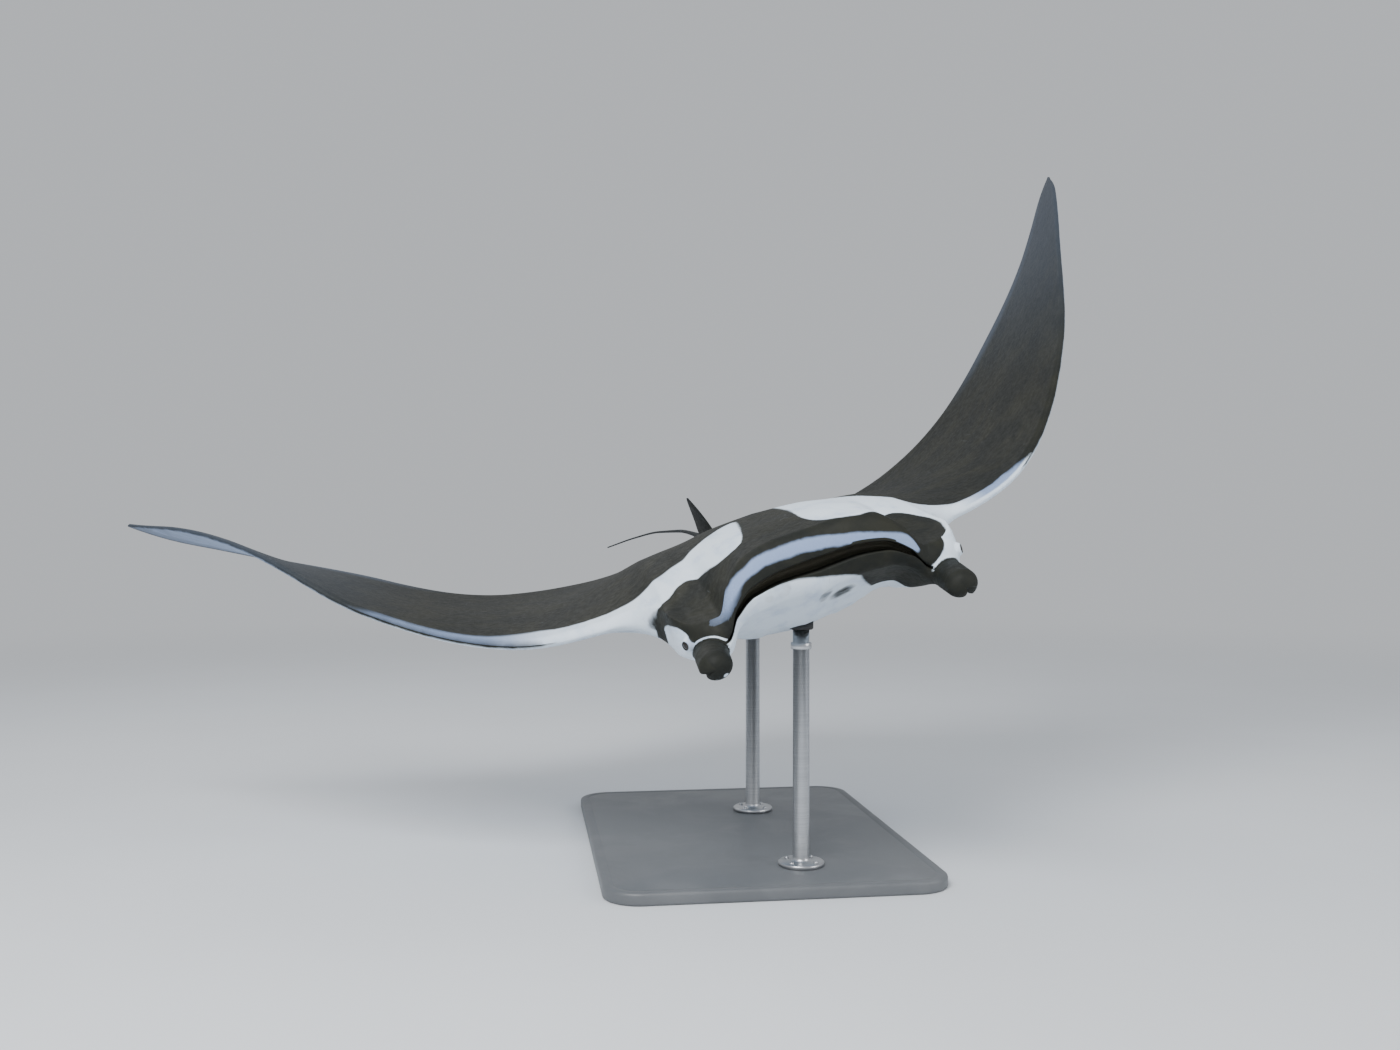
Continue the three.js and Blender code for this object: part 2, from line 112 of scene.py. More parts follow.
def circle(count: int) -> Array:
    """Turns evenly round a full circle, in radians."""
    return np.linspace(0, 2 * math.pi, count, endpoint=False)


def unit(vector: Array) -> Array:
    """A vector at length one, or every row of several."""
    if vector.ndim == 1:
        return vector / np.linalg.norm(vector)
    return vector / np.linalg.norm(vector, axis=1, keepdims=True)


def spaced(density: Curve, count: int, samples: int = 4001) -> Array:
    """Places on a line whose spacing follows a density.

    Args:
        density: how closely the places lie, as a curve over the line.
        count: how many places.
        samples: how finely the density is summed.

    Returns:
        The places, the ends of the line among them: equal steps of the density's running sum.
    """
    fine = np.linspace(density.at[0], density.at[-1], samples)
    weight = density(fine)
    total = np.concatenate([[0], np.cumsum((weight[1:] + weight[:-1]) / 2)])
    return np.interp(np.linspace(0, total[-1], count), total, fine)


def outline_distance(x: Array, y: Array, outline: Array) -> Array:
    """How deep points lie inside a closed outline, negative outside.

    Args:
        x: first coordinate of the points.
        y: second coordinate of the points.
        outline: the outline's corners, one row each.

    Returns:
        The distance to the nearest side, signed by counting the sides crossed by a ray along +x.
    """
    shape = x.shape
    p = np.stack([x.ravel(), y.ravel()], -1)[:, None, :]
    a, b = outline[None, :, :], np.roll(outline, -1, axis=0)[None, :, :]
    side = b - a
    along = np.clip(((p - a) * side).sum(-1) / np.maximum((side**2).sum(-1), 1e-12), 0, 1)
    nearest = np.sqrt((((a + along[..., None] * side) - p) ** 2).sum(-1)).min(1)
    spans = (a[..., 1] > p[..., 1]) != (b[..., 1] > p[..., 1])
    with np.errstate(divide="ignore", invalid="ignore"):
        cross = a[..., 0] + (p[..., 1] - a[..., 1]) / side[..., 1] * side[..., 0]
    inside = (spans & (p[..., 0] < cross)).sum(1) % 2 == 1
    return np.where(inside, nearest, -nearest).reshape(shape)


def rounded(corners: Pairs, cuts: int = 2) -> Array:
    """An outline with its corners cut again and again at a quarter of each side, which rounds them."""
    points = np.asarray(corners, float)
    for _ in range(cuts):
        following = np.roll(points, -1, axis=0)
        pairs = [0.75 * points + 0.25 * following, 0.25 * points + 0.75 * following]
        points = np.stack(pairs, 1).reshape(-1, 2)
    return points


# ---- surfaces -------------------------------------------------------------------------------
@dataclass
class Surface:
    """A closed surface: points, four-sided and three-sided faces, and named values on its points."""

    points: Array
    quads: Array = field(default_factory=lambda: np.zeros((0, 4), int))
    tris: Array = field(default_factory=lambda: np.zeros((0, 3), int))
    values: Values = field(default_factory=dict)

    def faced_out(self) -> Surface:
        """Turns every face over if the volume, summed over triangles from the origin, is negative."""
        tris = np.concatenate([self.quads[:, [0, 1, 2]], self.quads[:, [0, 2, 3]], self.tris])
        a, b, c = (self.points[tris[:, k]] for k in range(3))
        if (a * np.cross(b, c)).sum() < 0:
            self.quads = self.quads[:, ::-1]
            self.tris = self.tris[:, ::-1]
        return self

    def to_object(self, name: str) -> Piece:
        """Makes a smooth-shaded object at the origin, linked to the scene, with the values as attributes."""
        mesh = bpy.data.meshes.new(name)
        faces = self.quads.tolist() + self.tris.tolist()
        mesh.from_pydata(self.points.tolist(), [], faces)
        mesh.polygons.foreach_set("use_smooth", np.ones(len(faces), bool))
        for key, value in self.values.items():
            write_values(mesh, key, value)
        mesh.update()
        piece = bpy.data.objects.new(name, mesh)
        bpy.context.scene.collection.objects.link(piece)
        return piece


def ring_quads(count: int, around: int) -> Array:
    """Faces of a stack of rings: each joins a point, the one below it and the next of both."""
    i, j = np.arange(count - 1)[:, None], np.arange(around)[None, :]
    k = (j + 1) % around
    corners = (i * around + j, (i + 1) * around + j, (i + 1) * around + k, i * around + k)
    return np.stack(np.broadcast_arrays(*corners), -1).reshape(-1, 4)


def fan(middle: int, first: int, around: int) -> Array:
    """Faces that join a middle point to the ring of points that starts at first."""
    j = np.arange(around)
    return np.stack([np.full(around, middle), first + j, first + (j + 1) % around], -1)


def tube(rings: Array, values: Values | None = None) -> Surface:
    """A closed surface over a stack of rings, with a pole at the middle of each end ring.

    Args:
        rings: points as (ring, place round it, 3).
        values: named values as (ring, place round it) or (ring, place round it, 3).

    Returns:
        The surface, facing out.
    """
    count, around = rings.shape[:2]
    pole, last_ring = count * around, (count - 1) * around
    carried = {}
    for key, value in (values or {}).items():
        ends = np.stack([value[0].mean(0), value[-1].mean(0)])
        carried[key] = np.concatenate([value.reshape(count * around, *value.shape[2:]), ends])
    return Surface(
        points=np.concatenate([rings.reshape(-1, 3), np.stack([rings[0].mean(0), rings[-1].mean(0)])]),
        quads=ring_quads(count, around),
        tris=np.concatenate([fan(pole, 0, around), fan(pole + 1, last_ring, around)[:, [0, 2, 1]]]),
        values=carried,
    ).faced_out()


def points_of(mesh: Mesh) -> Array:
    """A mesh's points as an array of rows."""
    flat = np.zeros(len(mesh.vertices) * 3, np.float32)
    mesh.vertices.foreach_get("co", flat)
    return flat.reshape(-1, 3).astype(float)


def edges_of(mesh: Mesh) -> Array:
    """The two points of every edge, as an array of rows."""
    flat = np.zeros(len(mesh.edges) * 2, np.int32)
    mesh.edges.foreach_get("vertices", flat)
    return flat.reshape(-1, 2)


def read_values(mesh: Mesh, key: str) -> Array:
    """A named value of every point: a number each, or a row of three."""
    made = mesh.attributes[key]
    shape, slot = ((-1, 3), "vector") if made.data_type == "FLOAT_VECTOR" else ((-1,), "value")
    flat = np.zeros(len(mesh.vertices) * (3 if slot == "vector" else 1), np.float32)
    made.data.foreach_get(slot, flat)
    return flat.reshape(shape)


def write_values(mesh: Mesh, key: str, value: Array) -> None:
    """Stores a named value of every point, in a new attribute if the mesh has none of that name."""
    kind, slot = ("FLOAT_VECTOR", "vector") if value.ndim == 2 else ("FLOAT", "value")
    made = mesh.attributes.get(key) or mesh.attributes.new(key, kind, "POINT")
    made.data.foreach_set(slot, np.ascontiguousarray(value, np.float32).ravel())


class Join(Enum):
    """How one closed piece meets another."""

    UNITE = "UNION"
    CUT = "DIFFERENCE"


def combine(base: Piece, tools: list[Piece], how: Join) -> Piece:
    """Joins tools to a piece, or cuts them from it, and removes them.

    Args:
        base: the closed piece that is kept.
        tools: the closed pieces that are united with it or cut from it.
        how: unite or cut.

    Returns:
        The same piece with its new mesh.
    """
    for tool in tools:
        step = base.modifiers.new("join", "BOOLEAN")
        step.operation = how.value
        step.solver = "MANIFOLD"
        step.object = tool
        graph = bpy.context.evaluated_depsgraph_get()
        made = bpy.data.meshes.new_from_object(base.evaluated_get(graph))
        base.modifiers.clear()
        spent = base.data
        base.data = made
        bpy.data.meshes.remove(spent)
        bpy.data.objects.remove(tool)
    base.data.polygons.foreach_set("use_smooth", np.ones(len(base.data.polygons), bool))
    return base


# ---- the animal's form ----------------------------------------------------------------------
class Side(Enum):
    """The animal's own left and right; the value is the sign of x."""

    LEFT = 1
    RIGHT = -1


def sides(left: object, right: object) -> dict[Side, object]:
    """A dataclass field with one value for each side."""
    return field(default_factory=lambda: {Side.LEFT: left, Side.RIGHT: right})


class Part(IntEnum):
    """The parts of a section's loop, from the rear edge over the back and round to the rear edge."""

    BACK = 0
    NOSE = 1
    MOUTH = 2
    CHIN = 3
    BELLY = 4
    REAR = 5


class Own(IntEnum):
    """What a point belongs to; a join leaves new points at 0."""

    BODY = 1
    ROLL = 2


@dataclass(frozen=True)
class Body:
    """Sizes of the body in the flat frame, and the surface that they give.

    A station u runs along the front rim from the middle of the mouth: 0 to 1 mouth, 1 to 2 cheek, 2 to 3
    neck, 3 to 4 wing.
    """

    half_span: float = 2.30
    mouth_x: float = 0.32
    mouth_y: float = -0.075
    snout_y: float = -0.060
    mouth_depth: float = 0.095
    mouth_end: float = 0.99
    cheek_x: float = 0.45
    cheek_y: float = 0.12
    cheek_power: float = 2.2
    notch_x: float = 0.61
    notch_y: float = 0.40
    notch_power: float = 1.1
    edge_half: float = 0.004
    hump: float = 0.116
    belly: float = 0.175
    arch_from: float = -0.06
    arch_over: float = 0.42
    lead_edge: Curve = Curve(
        (0.61, 0.70, 1.0, 1.4, 1.8, 2.1, 2.3), (0.40, 0.436, 0.518, 0.68, 0.95, 1.28, 1.705)
    )
    trail_edge: Curve = Curve(
        (0, 0.12, 0.25, 0.5, 0.8, 1.2, 1.6, 2.0, 2.2, 2.3),
        (2.06, 2.05, 2.02, 1.90, 1.72, 1.58, 1.54, 1.60, 1.68, 1.735),
    )
    rear_x: Curve = Curve((0, 1, 2, 3), (0, 0.16, 0.34, 0.61))
    nose_up: Curve = Curve(
        (0, 0.6, 1, 1.5, 2, 2.6, 3, 3.3, 3.65, 4),
        (0.078, 0.075, 0.068, 0.072, 0.068, 0.038, 0.023, 0.017, 0.011, 0.006),
    )
    nose_low: Curve = Curve(
        (0, 0.6, 1, 1.5, 2, 2.6, 3, 3.3, 3.65, 4),
        (0.095, 0.078, 0.040, 0.037, 0.048, 0.028, 0.015, 0.013, 0.010, 0.006),
    )
    nose_reach: Curve = Curve((0, 1, 2, 3, 4), (0.55, 0.75, 0.65, 1.3, 2.0))
    lip_up: Curve = Curve((0, 0.6, 0.9, 1.05, 4), (-0.02, -0.08, -0.02, 0.02, 0.02))
    lip_low: Curve = Curve((0, 0.5, 0.8, 0.95, 1.05, 4), (-0.48, -0.5, -0.46, -0.2, -0.03, -0.03))
    span_share: Curve = Curve(
        (0, 0.12, 0.3, 0.5, 0.75, 1.05, 1.5, 2.3), (1, 0.96, 0.8, 0.52, 0.25, 0.1, 0.03, 0)
    )
    back_share: Curve = Curve((0, 0.05, 0.16, 0.38, 0.62, 0.82, 1), (0, 0.12, 0.55, 1, 0.72, 0.34, 0))
    belly_share: Curve = Curve((0, 0.06, 0.18, 0.36, 0.62, 0.85, 1), (0, 0.2, 0.66, 1, 0.72, 0.28, 0))
    head_arch: Curve = Curve(
        (0, 0.1, 0.2, 0.27, 0.32, 0.39, 0.455, 0.6, 0.85),
        (0.060, 0.062, 0.046, -0.008, -0.085, -0.088, -0.060, -0.010, 0),
    )
    # Points round a section: back, nose above the mouth, mouth, nose below it, belly.
    back_count: int = 58
    nose_count: int = 26
    mouth_count: int = 14
    chin_count: int = 20
    belly_count: int = 72
    back_crowd: float = 1.35  # crowds the back's points towards the nose
    station_density: Curve = Curve(
        (0, 0.8, 1.0, 1.3, 1.62, 1.95, 2.4, 3.0, 3.25, 4),
        (60, 70, 90, 75, 110, 55, 38, 40, 56, 66),
    )
    station_count: int = 200
    belly_spread: Curve = Curve((0, 0.12, 0.74, 1), (0, 0.13, 0.46, 1))
    mouth_round: float = 0.45  # how square the hollow of the mouth is: 1 is a sine, 0 a box
    thin_power: float = 1.2  # how the nose's half ellipse thins towards the rear edge

    def front_rim(self, u: Array) -> tuple[Array, Array]:
        """The front rim in plan: a shallow arc over the mouth, round cheek, neck notch, the wing's edge."""
        turn = (u % 1) * math.pi / 2
        power = 2 / self.cheek_power
        cosine = np.maximum(np.cos(turn), 0)
        mouth = self.mouth_x * u, self.snout_y + (self.mouth_y - self.snout_y) * u * u
        cheek = (
            self.mouth_x + (self.cheek_x - self.mouth_x) * np.sin(turn) ** power,
            self.mouth_y + (self.cheek_y - self.mouth_y) * (1 - cosine**power),
        )
        neck = (
            self.notch_x - (self.notch_x - self.cheek_x) * cosine,
            self.cheek_y + (self.notch_y - self.cheek_y) * np.sin(turn) ** self.notch_power,
        )
        out = self.notch_x + (self.half_span - self.notch_x) * (u - WING)
        wing = out, self.lead_edge(out)
        parts = [u < CHEEK, u < NECK, u < WING]
        return tuple(np.select(parts, [mouth[k], cheek[k], neck[k]], wing[k]) for k in (0, 1))

    def arch_fade(self, y: Array) -> Array:
        """How much of the head's arch is left behind the snout."""
        return bell(np.maximum(y - self.arch_from, 0), self.arch_over)

    def loop_places(self) -> tuple[Array, Array]:
        """The places round a section, the same for every station: their parts and shares of each part."""
        back = np.linspace(1, 0, self.back_count)
        nose = np.linspace(0, 1, self.nose_count + 1)[1:]
        mouth = np.linspace(0, 1, self.mouth_count + 1)[1:-1]
        chin = np.linspace(0, 1, self.chin_count + 1)
        belly = self.belly_spread(np.linspace(0, 1, self.belly_count))[1:]
        shares = [back**self.back_crowd, nose, mouth, chin, belly, np.array([1.0])]
        part = np.concatenate([np.full(len(share), place.value) for place, share in zip(Part, shares)])
        return part, np.concatenate(shares)

    def sections(self, u: Array) -> Values:
        """Closed sections at stations u of the left side.

        A section runs from the rear edge over the back, round the nose, into the mouth, round the chin and
        along the belly. Its height is the nose's half ellipse thinned towards the rear edge, plus the shares
        of back and belly.

        Args:
            u: the stations.

        Returns:
            Arrays of (station, place): x, y, z, v (0 at the rim, 1 at the rear), angle round the nose, share,
            part, the chord's length, and the y of the rim and of the nose's end.
        """
        part, share = self.loop_places()
        u = np.asarray(u, float)[:, None]
        front_x, front_y = self.front_rim(u)
        rear_x = np.where(u > WING, front_x, self.rear_x(u))
        run_x, run_y = rear_x - front_x, self.trail_edge(rear_x) - front_y
        up, low = self.nose_up(u), self.nose_low(u)
        nose_end = 0.5 * (up + low) * self.nose_reach(u) / np.hypot(run_x, run_y)
        lip_up, lip_low, top = self.lip_up(u), self.lip_low(u), math.pi / 2
        angle = np.select(
            [part == Part.BACK, part == Part.NOSE, part == Part.MOUTH, part == Part.CHIN],
            [
                top + 0 * u * share,
                top + (lip_up - top) * share,
                lip_up + (lip_low - lip_up) * share,
                lip_low + (-top - lip_low) * share,
            ],
            -top,
        )
        flank = (part == Part.BACK) | (part >= Part.BELLY)
        v = np.where(flank, nose_end + (1 - nose_end) * share, nose_end * (1 - np.cos(angle)))
        opening = np.sqrt(np.clip(1 - (u / self.mouth_end) ** 2, 0, 1))
        hollow = self.mouth_depth * opening * np.sin(math.pi * share) ** self.mouth_round
        inward = np.where(part == Part.MOUTH, hollow, 0)
        x = front_x + run_x * v
        y = front_y + run_y * v + inward + np.where(part == Part.REAR, 2 * self.edge_half, 0)
        half = np.where(angle > 0, up, low)
        edge = self.edge_half / half
        thin = (1 - smoothstep((v - nose_end) / (1 - nose_end), 0, 1)) ** self.thin_power
        bulk = np.where(angle > 0, self.hump * self.back_share(v), -self.belly * self.belly_share(v))
        height = half * np.sin(angle) * (edge + (1 - edge) * thin) + bulk * self.span_share(x)
        height = np.where(part == Part.REAR, 0, height)
        z = height + self.head_arch(x) * self.arch_fade(y)
        found = {
            "x": x, "y": y, "z": z, "v": v, "angle": angle, "u": u, "share": share, "part": part,
            "chord": np.hypot(run_x, run_y), "rim_y": front_y, "nose_y": front_y + run_y * nose_end,
        }
        return {key: value + np.zeros_like(z) for key, value in found.items()}


@dataclass(frozen=True)
class Swim:
    """How the flat body swims: lift along each wing's own length, twist, sweep, roll of the head, bank."""

    lift_at: Row = (0, 0.42, 0.70, 1.0, 1.3, 1.7, 2.05, 2.3)
    twist_at: Row = (0, 0.45, 0.9, 1.4, 1.9, 2.3)
    twist_line_y: float = 1.15
    sweep_from: float = 0.40
    line_steps: int = 230
    lift: dict[Side, Row] = sides(
        (0, 0, 15.3, 37.7, 48.5, 56, 60.1, 53.4), (0, 0, 5.1, 21.6, 32.6, 39, 39.9, 53.6)
    )
    twist: dict[Side, Row] = sides((0, 0, 3, -0.6, -10, -14.4), (0, 0, 3.1, 2.2, -8.3, -15.7))
    sweep: dict[Side, float] = sides(0.006, -0.086)
    head_roll: float = 0.03
    roll_from: float = 0.50
    roll_over: float = 0.40
    bank: float = 17.0
    pitch: float = 1.85
    place: Triple = (0.060, -0.930, 1.000)

    def side(self, points: Array, side: Side, body: Body) -> Array:
        """Lifts, twists and sweeps points of one side.

        The wing's line is walked out from the middle in small steps along its own length, each turned by the
        lift there. A point keeps its distance out along that line, turns about one line across by the twist,
        and stands off the line square to it.

        Args:
            points: flat points, in the last axis.
            side: which wing they belong to.
            body: the body's sizes.

        Returns:
            The points in the swimming frame.
        """
        x, y, z = points[..., 0], points[..., 1], points[..., 2]
        lift = Curve(self.lift_at, tuple(np.radians(self.lift[side])))
        twist = Curve(self.twist_at, tuple(np.radians(self.twist[side])))
        steps = np.linspace(0, body.half_span, self.line_steps + 1)
        turned = lift((steps[1:] + steps[:-1]) / 2)
        line_x, line_z = (np.concatenate([[0], np.cumsum(go(turned) * steps[1])]) for go in (np.cos, np.sin))
        out = np.abs(x)
        lifted, twisted = lift(out), twist(out)
        fade = body.arch_fade(y) * (1 - smoothstep(out, self.roll_from, self.roll_from + self.roll_over))
        level = z + x * self.head_roll * fade
        back = y - self.twist_line_y
        along = self.twist_line_y + back * np.cos(twisted) - level * np.sin(twisted)
        above = back * np.sin(twisted) + level * np.cos(twisted)
        return np.stack(
            [
                side.value * (np.interp(out, steps, line_x) - above * np.sin(lifted)),
                along + self.sweep[side] * np.maximum(out - self.sweep_from, 0) ** 2,
                np.interp(out, steps, line_z) + above * np.cos(lifted),
            ],
            -1,
        )

    def swum(self, points: Array, body: Body) -> Array:
        """Flat points of either side in the swimming frame."""
        left = self.side(points, Side.LEFT, body)
        right = self.side(points, Side.RIGHT, body)
        return np.where(points[..., :1] < 0, right, left)

    def placed(self, points: Array) -> Array:
        """Points of the swimming frame in the row frame: pitched about x, banked about y, then moved."""
        bank, pitch = math.radians(self.bank), math.radians(self.pitch)
        cos, sin = math.cos, math.sin
        banked = np.array([[cos(bank), 0, -sin(bank)], [0, 1, 0], [sin(bank), 0, cos(bank)]])
        pitched = np.array([[1, 0, 0], [0, cos(pitch), -sin(pitch)], [0, sin(pitch), cos(pitch)]])
        return points @ (banked @ pitched).T + np.asarray(self.place)

    def row(self, points: Array, body: Body) -> Array:
        """Flat points in the row frame."""
        return self.placed(self.swum(points, body))


# ---- the animal's markings ------------------------------------------------------------------
def metres(*rows: tuple[int, ...]) -> tuple[Row, ...]:
    """Rows of whole millimetres as rows of metres."""
    return tuple(tuple(value / 1000 for value in row) for row in rows)


@dataclass(frozen=True)
class Markings:
    """Where the skin is pale, as depths in metres inside outlines drawn on the flat body."""

    # Shoulder patches seen from above: distance out from the middle, distance back from the snout.
    right_patch: Pairs = metres(
        (85, 640), (105, 480), (128, 330), (148, 200), (170, 125), (215, 100), (260, 155), (295, 245),
        (335, 295), (380, 275), (415, 225), (452, 215), (475, 270), (500, 320), (560, 270), (700, 330),
        (740, 420), (700, 515), (615, 487), (545, 465), (475, 440), (420, 415), (345, 452), (280, 488),
        (185, 552), (130, 615),
    )
    left_patch: Pairs = metres(
        (65, 780), (62, 420), (34, 230), (34, 120), (60, 10), (100, -25), (180, -30), (235, 20), (260, 150),
        (285, 235), (315, 285), (350, 295), (385, 260), (418, 205), (434, 130), (427, 70), (413, 10),
        (395, -30), (370, -100), (480, -100), (560, 150), (660, 380), (720, 420), (660, 455), (600, 435),
        (560, 465), (500, 500), (440, 490), (390, 535), (350, 600), (310, 700), (240, 760), (140, 780),
    )
    # Pale strip along each wing's leading edge: how wide, by distance out.
    right_strip: Curve = Curve(
        *metres(
            (550, 620, 690, 760, 820, 880, 950, 1010, 1100, 1300, 1500),
            (50, 62, 80, 90, 108, 96, 62, 36, 22, 12, -30),
        )
    )
    left_strip: Curve = Curve(
        *metres(
            (550, 600, 700, 760, 810, 860, 920, 1000),
            (40, 34, 36, 30, 40, 20, 6, -30),
        )
    )
    # The station where the strips begin; beyond strip_edge the left one's depth grows by strip_fade only.
    strip_from: float = 2.6
    strip_edge: float = 0.004
    strip_fade: float = 0.25
    # A thin dark line along each wing's rim: the distance out where it begins, its run-in and its width.
    rim_from: dict[Side, float] = sides(0.92, 0.72)
    rim_run: float = 0.12
    rim_line: float = 0.009
    # Cheek patches: station along the rim, degrees round the nose.
    right_cheek: Pairs = (
        (1.20, -4), (1.34, 10), (1.46, 16), (1.51, 28), (1.57, 40), (1.68, 45), (1.82, 40), (1.96, 34),
        (2.09, 26), (2.19, 12), (2.23, -8), (2.23, -70), (1.9, -78), (1.5, -66), (1.2, -50),
    )
    left_cheek: Pairs = (
        (0.98, 4), (1.05, 18), (1.14, 28), (1.24, 42), (1.30, 60), (1.31, 90), (1.34, 120), (1.8, 120),
        (2.1, 60), (2.3, 10), (2.4, -40), (1.9, -70), (1.5, -60), (1.2, -45), (1.0, -14),
    )
    # The pale arc over each cephalic fin: its ellipse's middle, then half width, half height, half the
    # line's width and the turns where it begins and ends, and how far back it may reach.
    arc_middle: tuple[float, float] = (0.373, -0.107)
    arc_ellipse: tuple[float, float, float, float, float] = (0.0560, 0.0505, 0.0034, 24, 165)
    arc_back: float = 0.05
    cheek_run: float = 0.26
    cheek_round: float = 0.070
    # The pale band on the upper lip: its upper and lower edge as heights over the wing plane, and its ends.
    lip_top: Curve = Curve(
        *metres(
            (-355, -331, -283, -246, -206, -157, -93, -36, 24, 81, 138, 194, 251, 287, 300),
            (-21, -5, 48, 81, 100, 117, 120, 120, 112, 99, 85, 66, 46, 14, -23),
        )
    )
    lip_base: Curve = Curve(
        *metres(
            (-331, -299, -283, -267, -247, -223, -182, -142, -89, -49, 0, 69, 130, 200, 255, 288),
            (-54, -31, -3, 20, 40, 60, 76, 84, 84, 84, 79, 68, 58, 36, 3, -29),
        )
    )
    lip_ends: Triple = (-0.345, 0.301, -0.016)
    lip_round: float = 0.022
    lip_until: float = 1.22  # the station where the band stops
    front_angle: float = 1.2  # how far round the nose, in radians, the head's front reaches
    # How far behind the lower lip the dark of the mouth ends, across the body.
    jaw: Curve = Curve(
        *metres(
            (-340, -250, -160, -70, -12, 48, 108, 163, 205, 295),
            (4, 6, 8, 12, 27, 52, 102, 284, 387, 400),
        )
    )
    jaw_until: float = 1.35  # the station where that line stops counting
    neck_white: float = 2.26  # the station from which the shoulder's white runs on below the rim
    # Grey smudges on the belly: across, back, half across, half back, and how dark (12 in full, 6 by half).
    smudges: tuple[tuple[float, float, float, float, float], ...] = metres(
        (86, 134, 34, 40, 11), (22, 75, 16, 50, 6), (-138, -50, 30, 14, 2), (400, 860, 90, 50, 12),
        (-410, 860, 100, 50, 12), (200, 1160, 34, 26, 12), (-130, 1220, 40, 30, 12), (70, 1310, 30, 22, 12),
        (-240, 1330, 24, 20, 12), (140, 1420, 22, 18, 12), (-60, 1460, 30, 20, 12), (280, 1360, 18, 15, 12),
        (-170, 1520, 20, 16, 12), (30, 1180, 14, 12, 10), (-300, 1180, 16, 13, 10),
    )

    def patch(self, x: Array, y: Array) -> Array:
        """Depth inside the shoulder patch of the point's own side."""
        left = outline_distance(x, y, rounded(self.left_patch))
        right = outline_distance(-x, y, rounded(self.right_patch))
        return np.where(x < 0, right, left)

    def cheek(self, sign: Array, u: Array, angle: Array) -> Array:
        """Depth inside the white cheek patch, measured along the rim and round the nose."""
        scale = np.array([self.cheek_run, math.radians(1) * self.cheek_round])
        across, around = u * self.cheek_run, angle * self.cheek_round
        left = outline_distance(across, around, rounded(self.left_cheek) * scale)
        right = outline_distance(across, around, rounded(self.right_cheek) * scale)
        return np.where(sign < 0, right, left)

    def lobe_arc(self, x: Array, y: Array, z: Array) -> Array:
        """Depth inside the thin pale arc over each cephalic fin's root.

        It is half the arc's width less the distance to an ellipse round the fin, held to a range of turns.
        """
        wide, high, half, first, last = self.arc_ellipse
        across, up = (np.abs(x) - self.arc_middle[0]) / wide, (z - self.arc_middle[1]) / high
        ring = half - np.abs(np.hypot(across, up) - 1) * wide
        turn = np.degrees(np.arctan2(up, across))
        span = np.minimum(turn - first, last - turn) * math.radians(1) * wide
        return np.where(y < self.arc_back, np.minimum(ring, span), OUTSIDE)

    def shoulder(self, s: Values, body: Body) -> Array:
        """Depth inside the shoulder patch or the pale strip, which stay off the head's front."""
        out, u, angle = s["out"], s["u"], s["angle"]
        width = np.where(s["right"], self.right_strip(out), self.left_strip(out))
        strip = np.where(u > self.strip_from, width - s["arc"], OUTSIDE)
        faint = np.minimum(strip, self.strip_edge + self.strip_fade * np.maximum(strip, 0))
        patch = np.maximum(self.patch(s["x"], s["y"]), np.where(s["right"], strip, faint))
        front = (s["part"] == Part.NOSE) & (u < CHEEK) & (angle < self.front_angle)
        behind = (angle - self.front_angle) * body.cheek_x * 0.2
        return np.where(front, np.minimum(patch, behind), patch)

    def lip_band(self, s: Values) -> Array:
        """Depth inside the pale band on the upper lip, whose corners are rounded by lip_round."""
        x, z = s["x"], s["z"]
        west, east, foot = self.lip_ends
        band = np.minimum(self.lip_top(x) - z, z - self.lip_base(x)) * 0.75
        end = np.minimum(np.minimum(x - west, east - x), np.where(x < 0, z - foot, 1)) * 0.7
        short = [np.maximum(self.lip_round - depth, 0) for depth in (band, end)]
        front = (s["part"] == Part.NOSE) & (s["u"] < self.lip_until)
        return np.where(front, self.lip_round - np.hypot(*short), OUTSIDE)

    def spots(self, x: Array, y: Array) -> Array:
        """Depth inside the belly's grey smudges: each an ellipse, whose depth is held to its darkness."""
        spot = np.full_like(x, -1.0)
        for across, back, wide, long, dark in self.smudges:
            reach = np.hypot((x - across) / wide, (y - back) / long)
            spot = np.maximum(spot, np.minimum((1 - reach) * 0.012, dark - 0.006))
        return spot

    def underside(self, s: Values, patch: Array, cheek: Array) -> Array:
        """Depth inside the white of the underside, from just under the rim to the dark rear margin.

        Args:
            s: the sections, with what values() adds to them.
            patch: depth inside the shoulder patch.
            cheek: depth inside the cheek patch or the arc over the cephalic fin.

        Returns:
            The depth; behind the mouth it is the distance to the jaw's line, made square to it by its slope.
        """
        x, y, z, u, part, out = (s[key] for key in ("x", "y", "z", "u", "part", "out"))
        around = (-s["angle"] - 0.35) * s["radius"]
        slope = (self.jaw(x + 0.01) - self.jaw(x - 0.01)) / 0.02
        closing = 1 - smoothstep(u, CHEEK, self.jaw_until)
        behind = ((s["lip_z"] - z) + (y - s["rim_y"]) - self.jaw(x) * closing) / np.sqrt(1 + slope**2)
        jaw = np.where(u < self.jaw_until, np.minimum(behind, -OUTSIDE), -OUTSIDE)
        side = np.where(part >= Part.BELLY, jaw, around)
        below = np.minimum(s["inside"], np.where(u < CHEEK, behind, side))
        rim = np.where((u > self.neck_white) & (out < 0.9), patch, OUTSIDE)
        low_nose = (part == Part.MOUTH) | (part == Part.CHIN)
        below = np.where(low_nose, np.maximum(below, rim), below)
        below = np.maximum(below, np.where(part <= Part.CHIN, cheek, OUTSIDE))
        neck = np.where(s["right"], smoothstep(u, 2.16, 2.26) * smoothstep(u, 2.42, 2.32), 0)
        below = np.minimum(below, np.where(part <= Part.CHIN, 0.012 - 0.03 * neck, -OUTSIDE))
        return np.minimum(below, np.where(part >= Part.CHIN, -self.spots(x, y), 1))

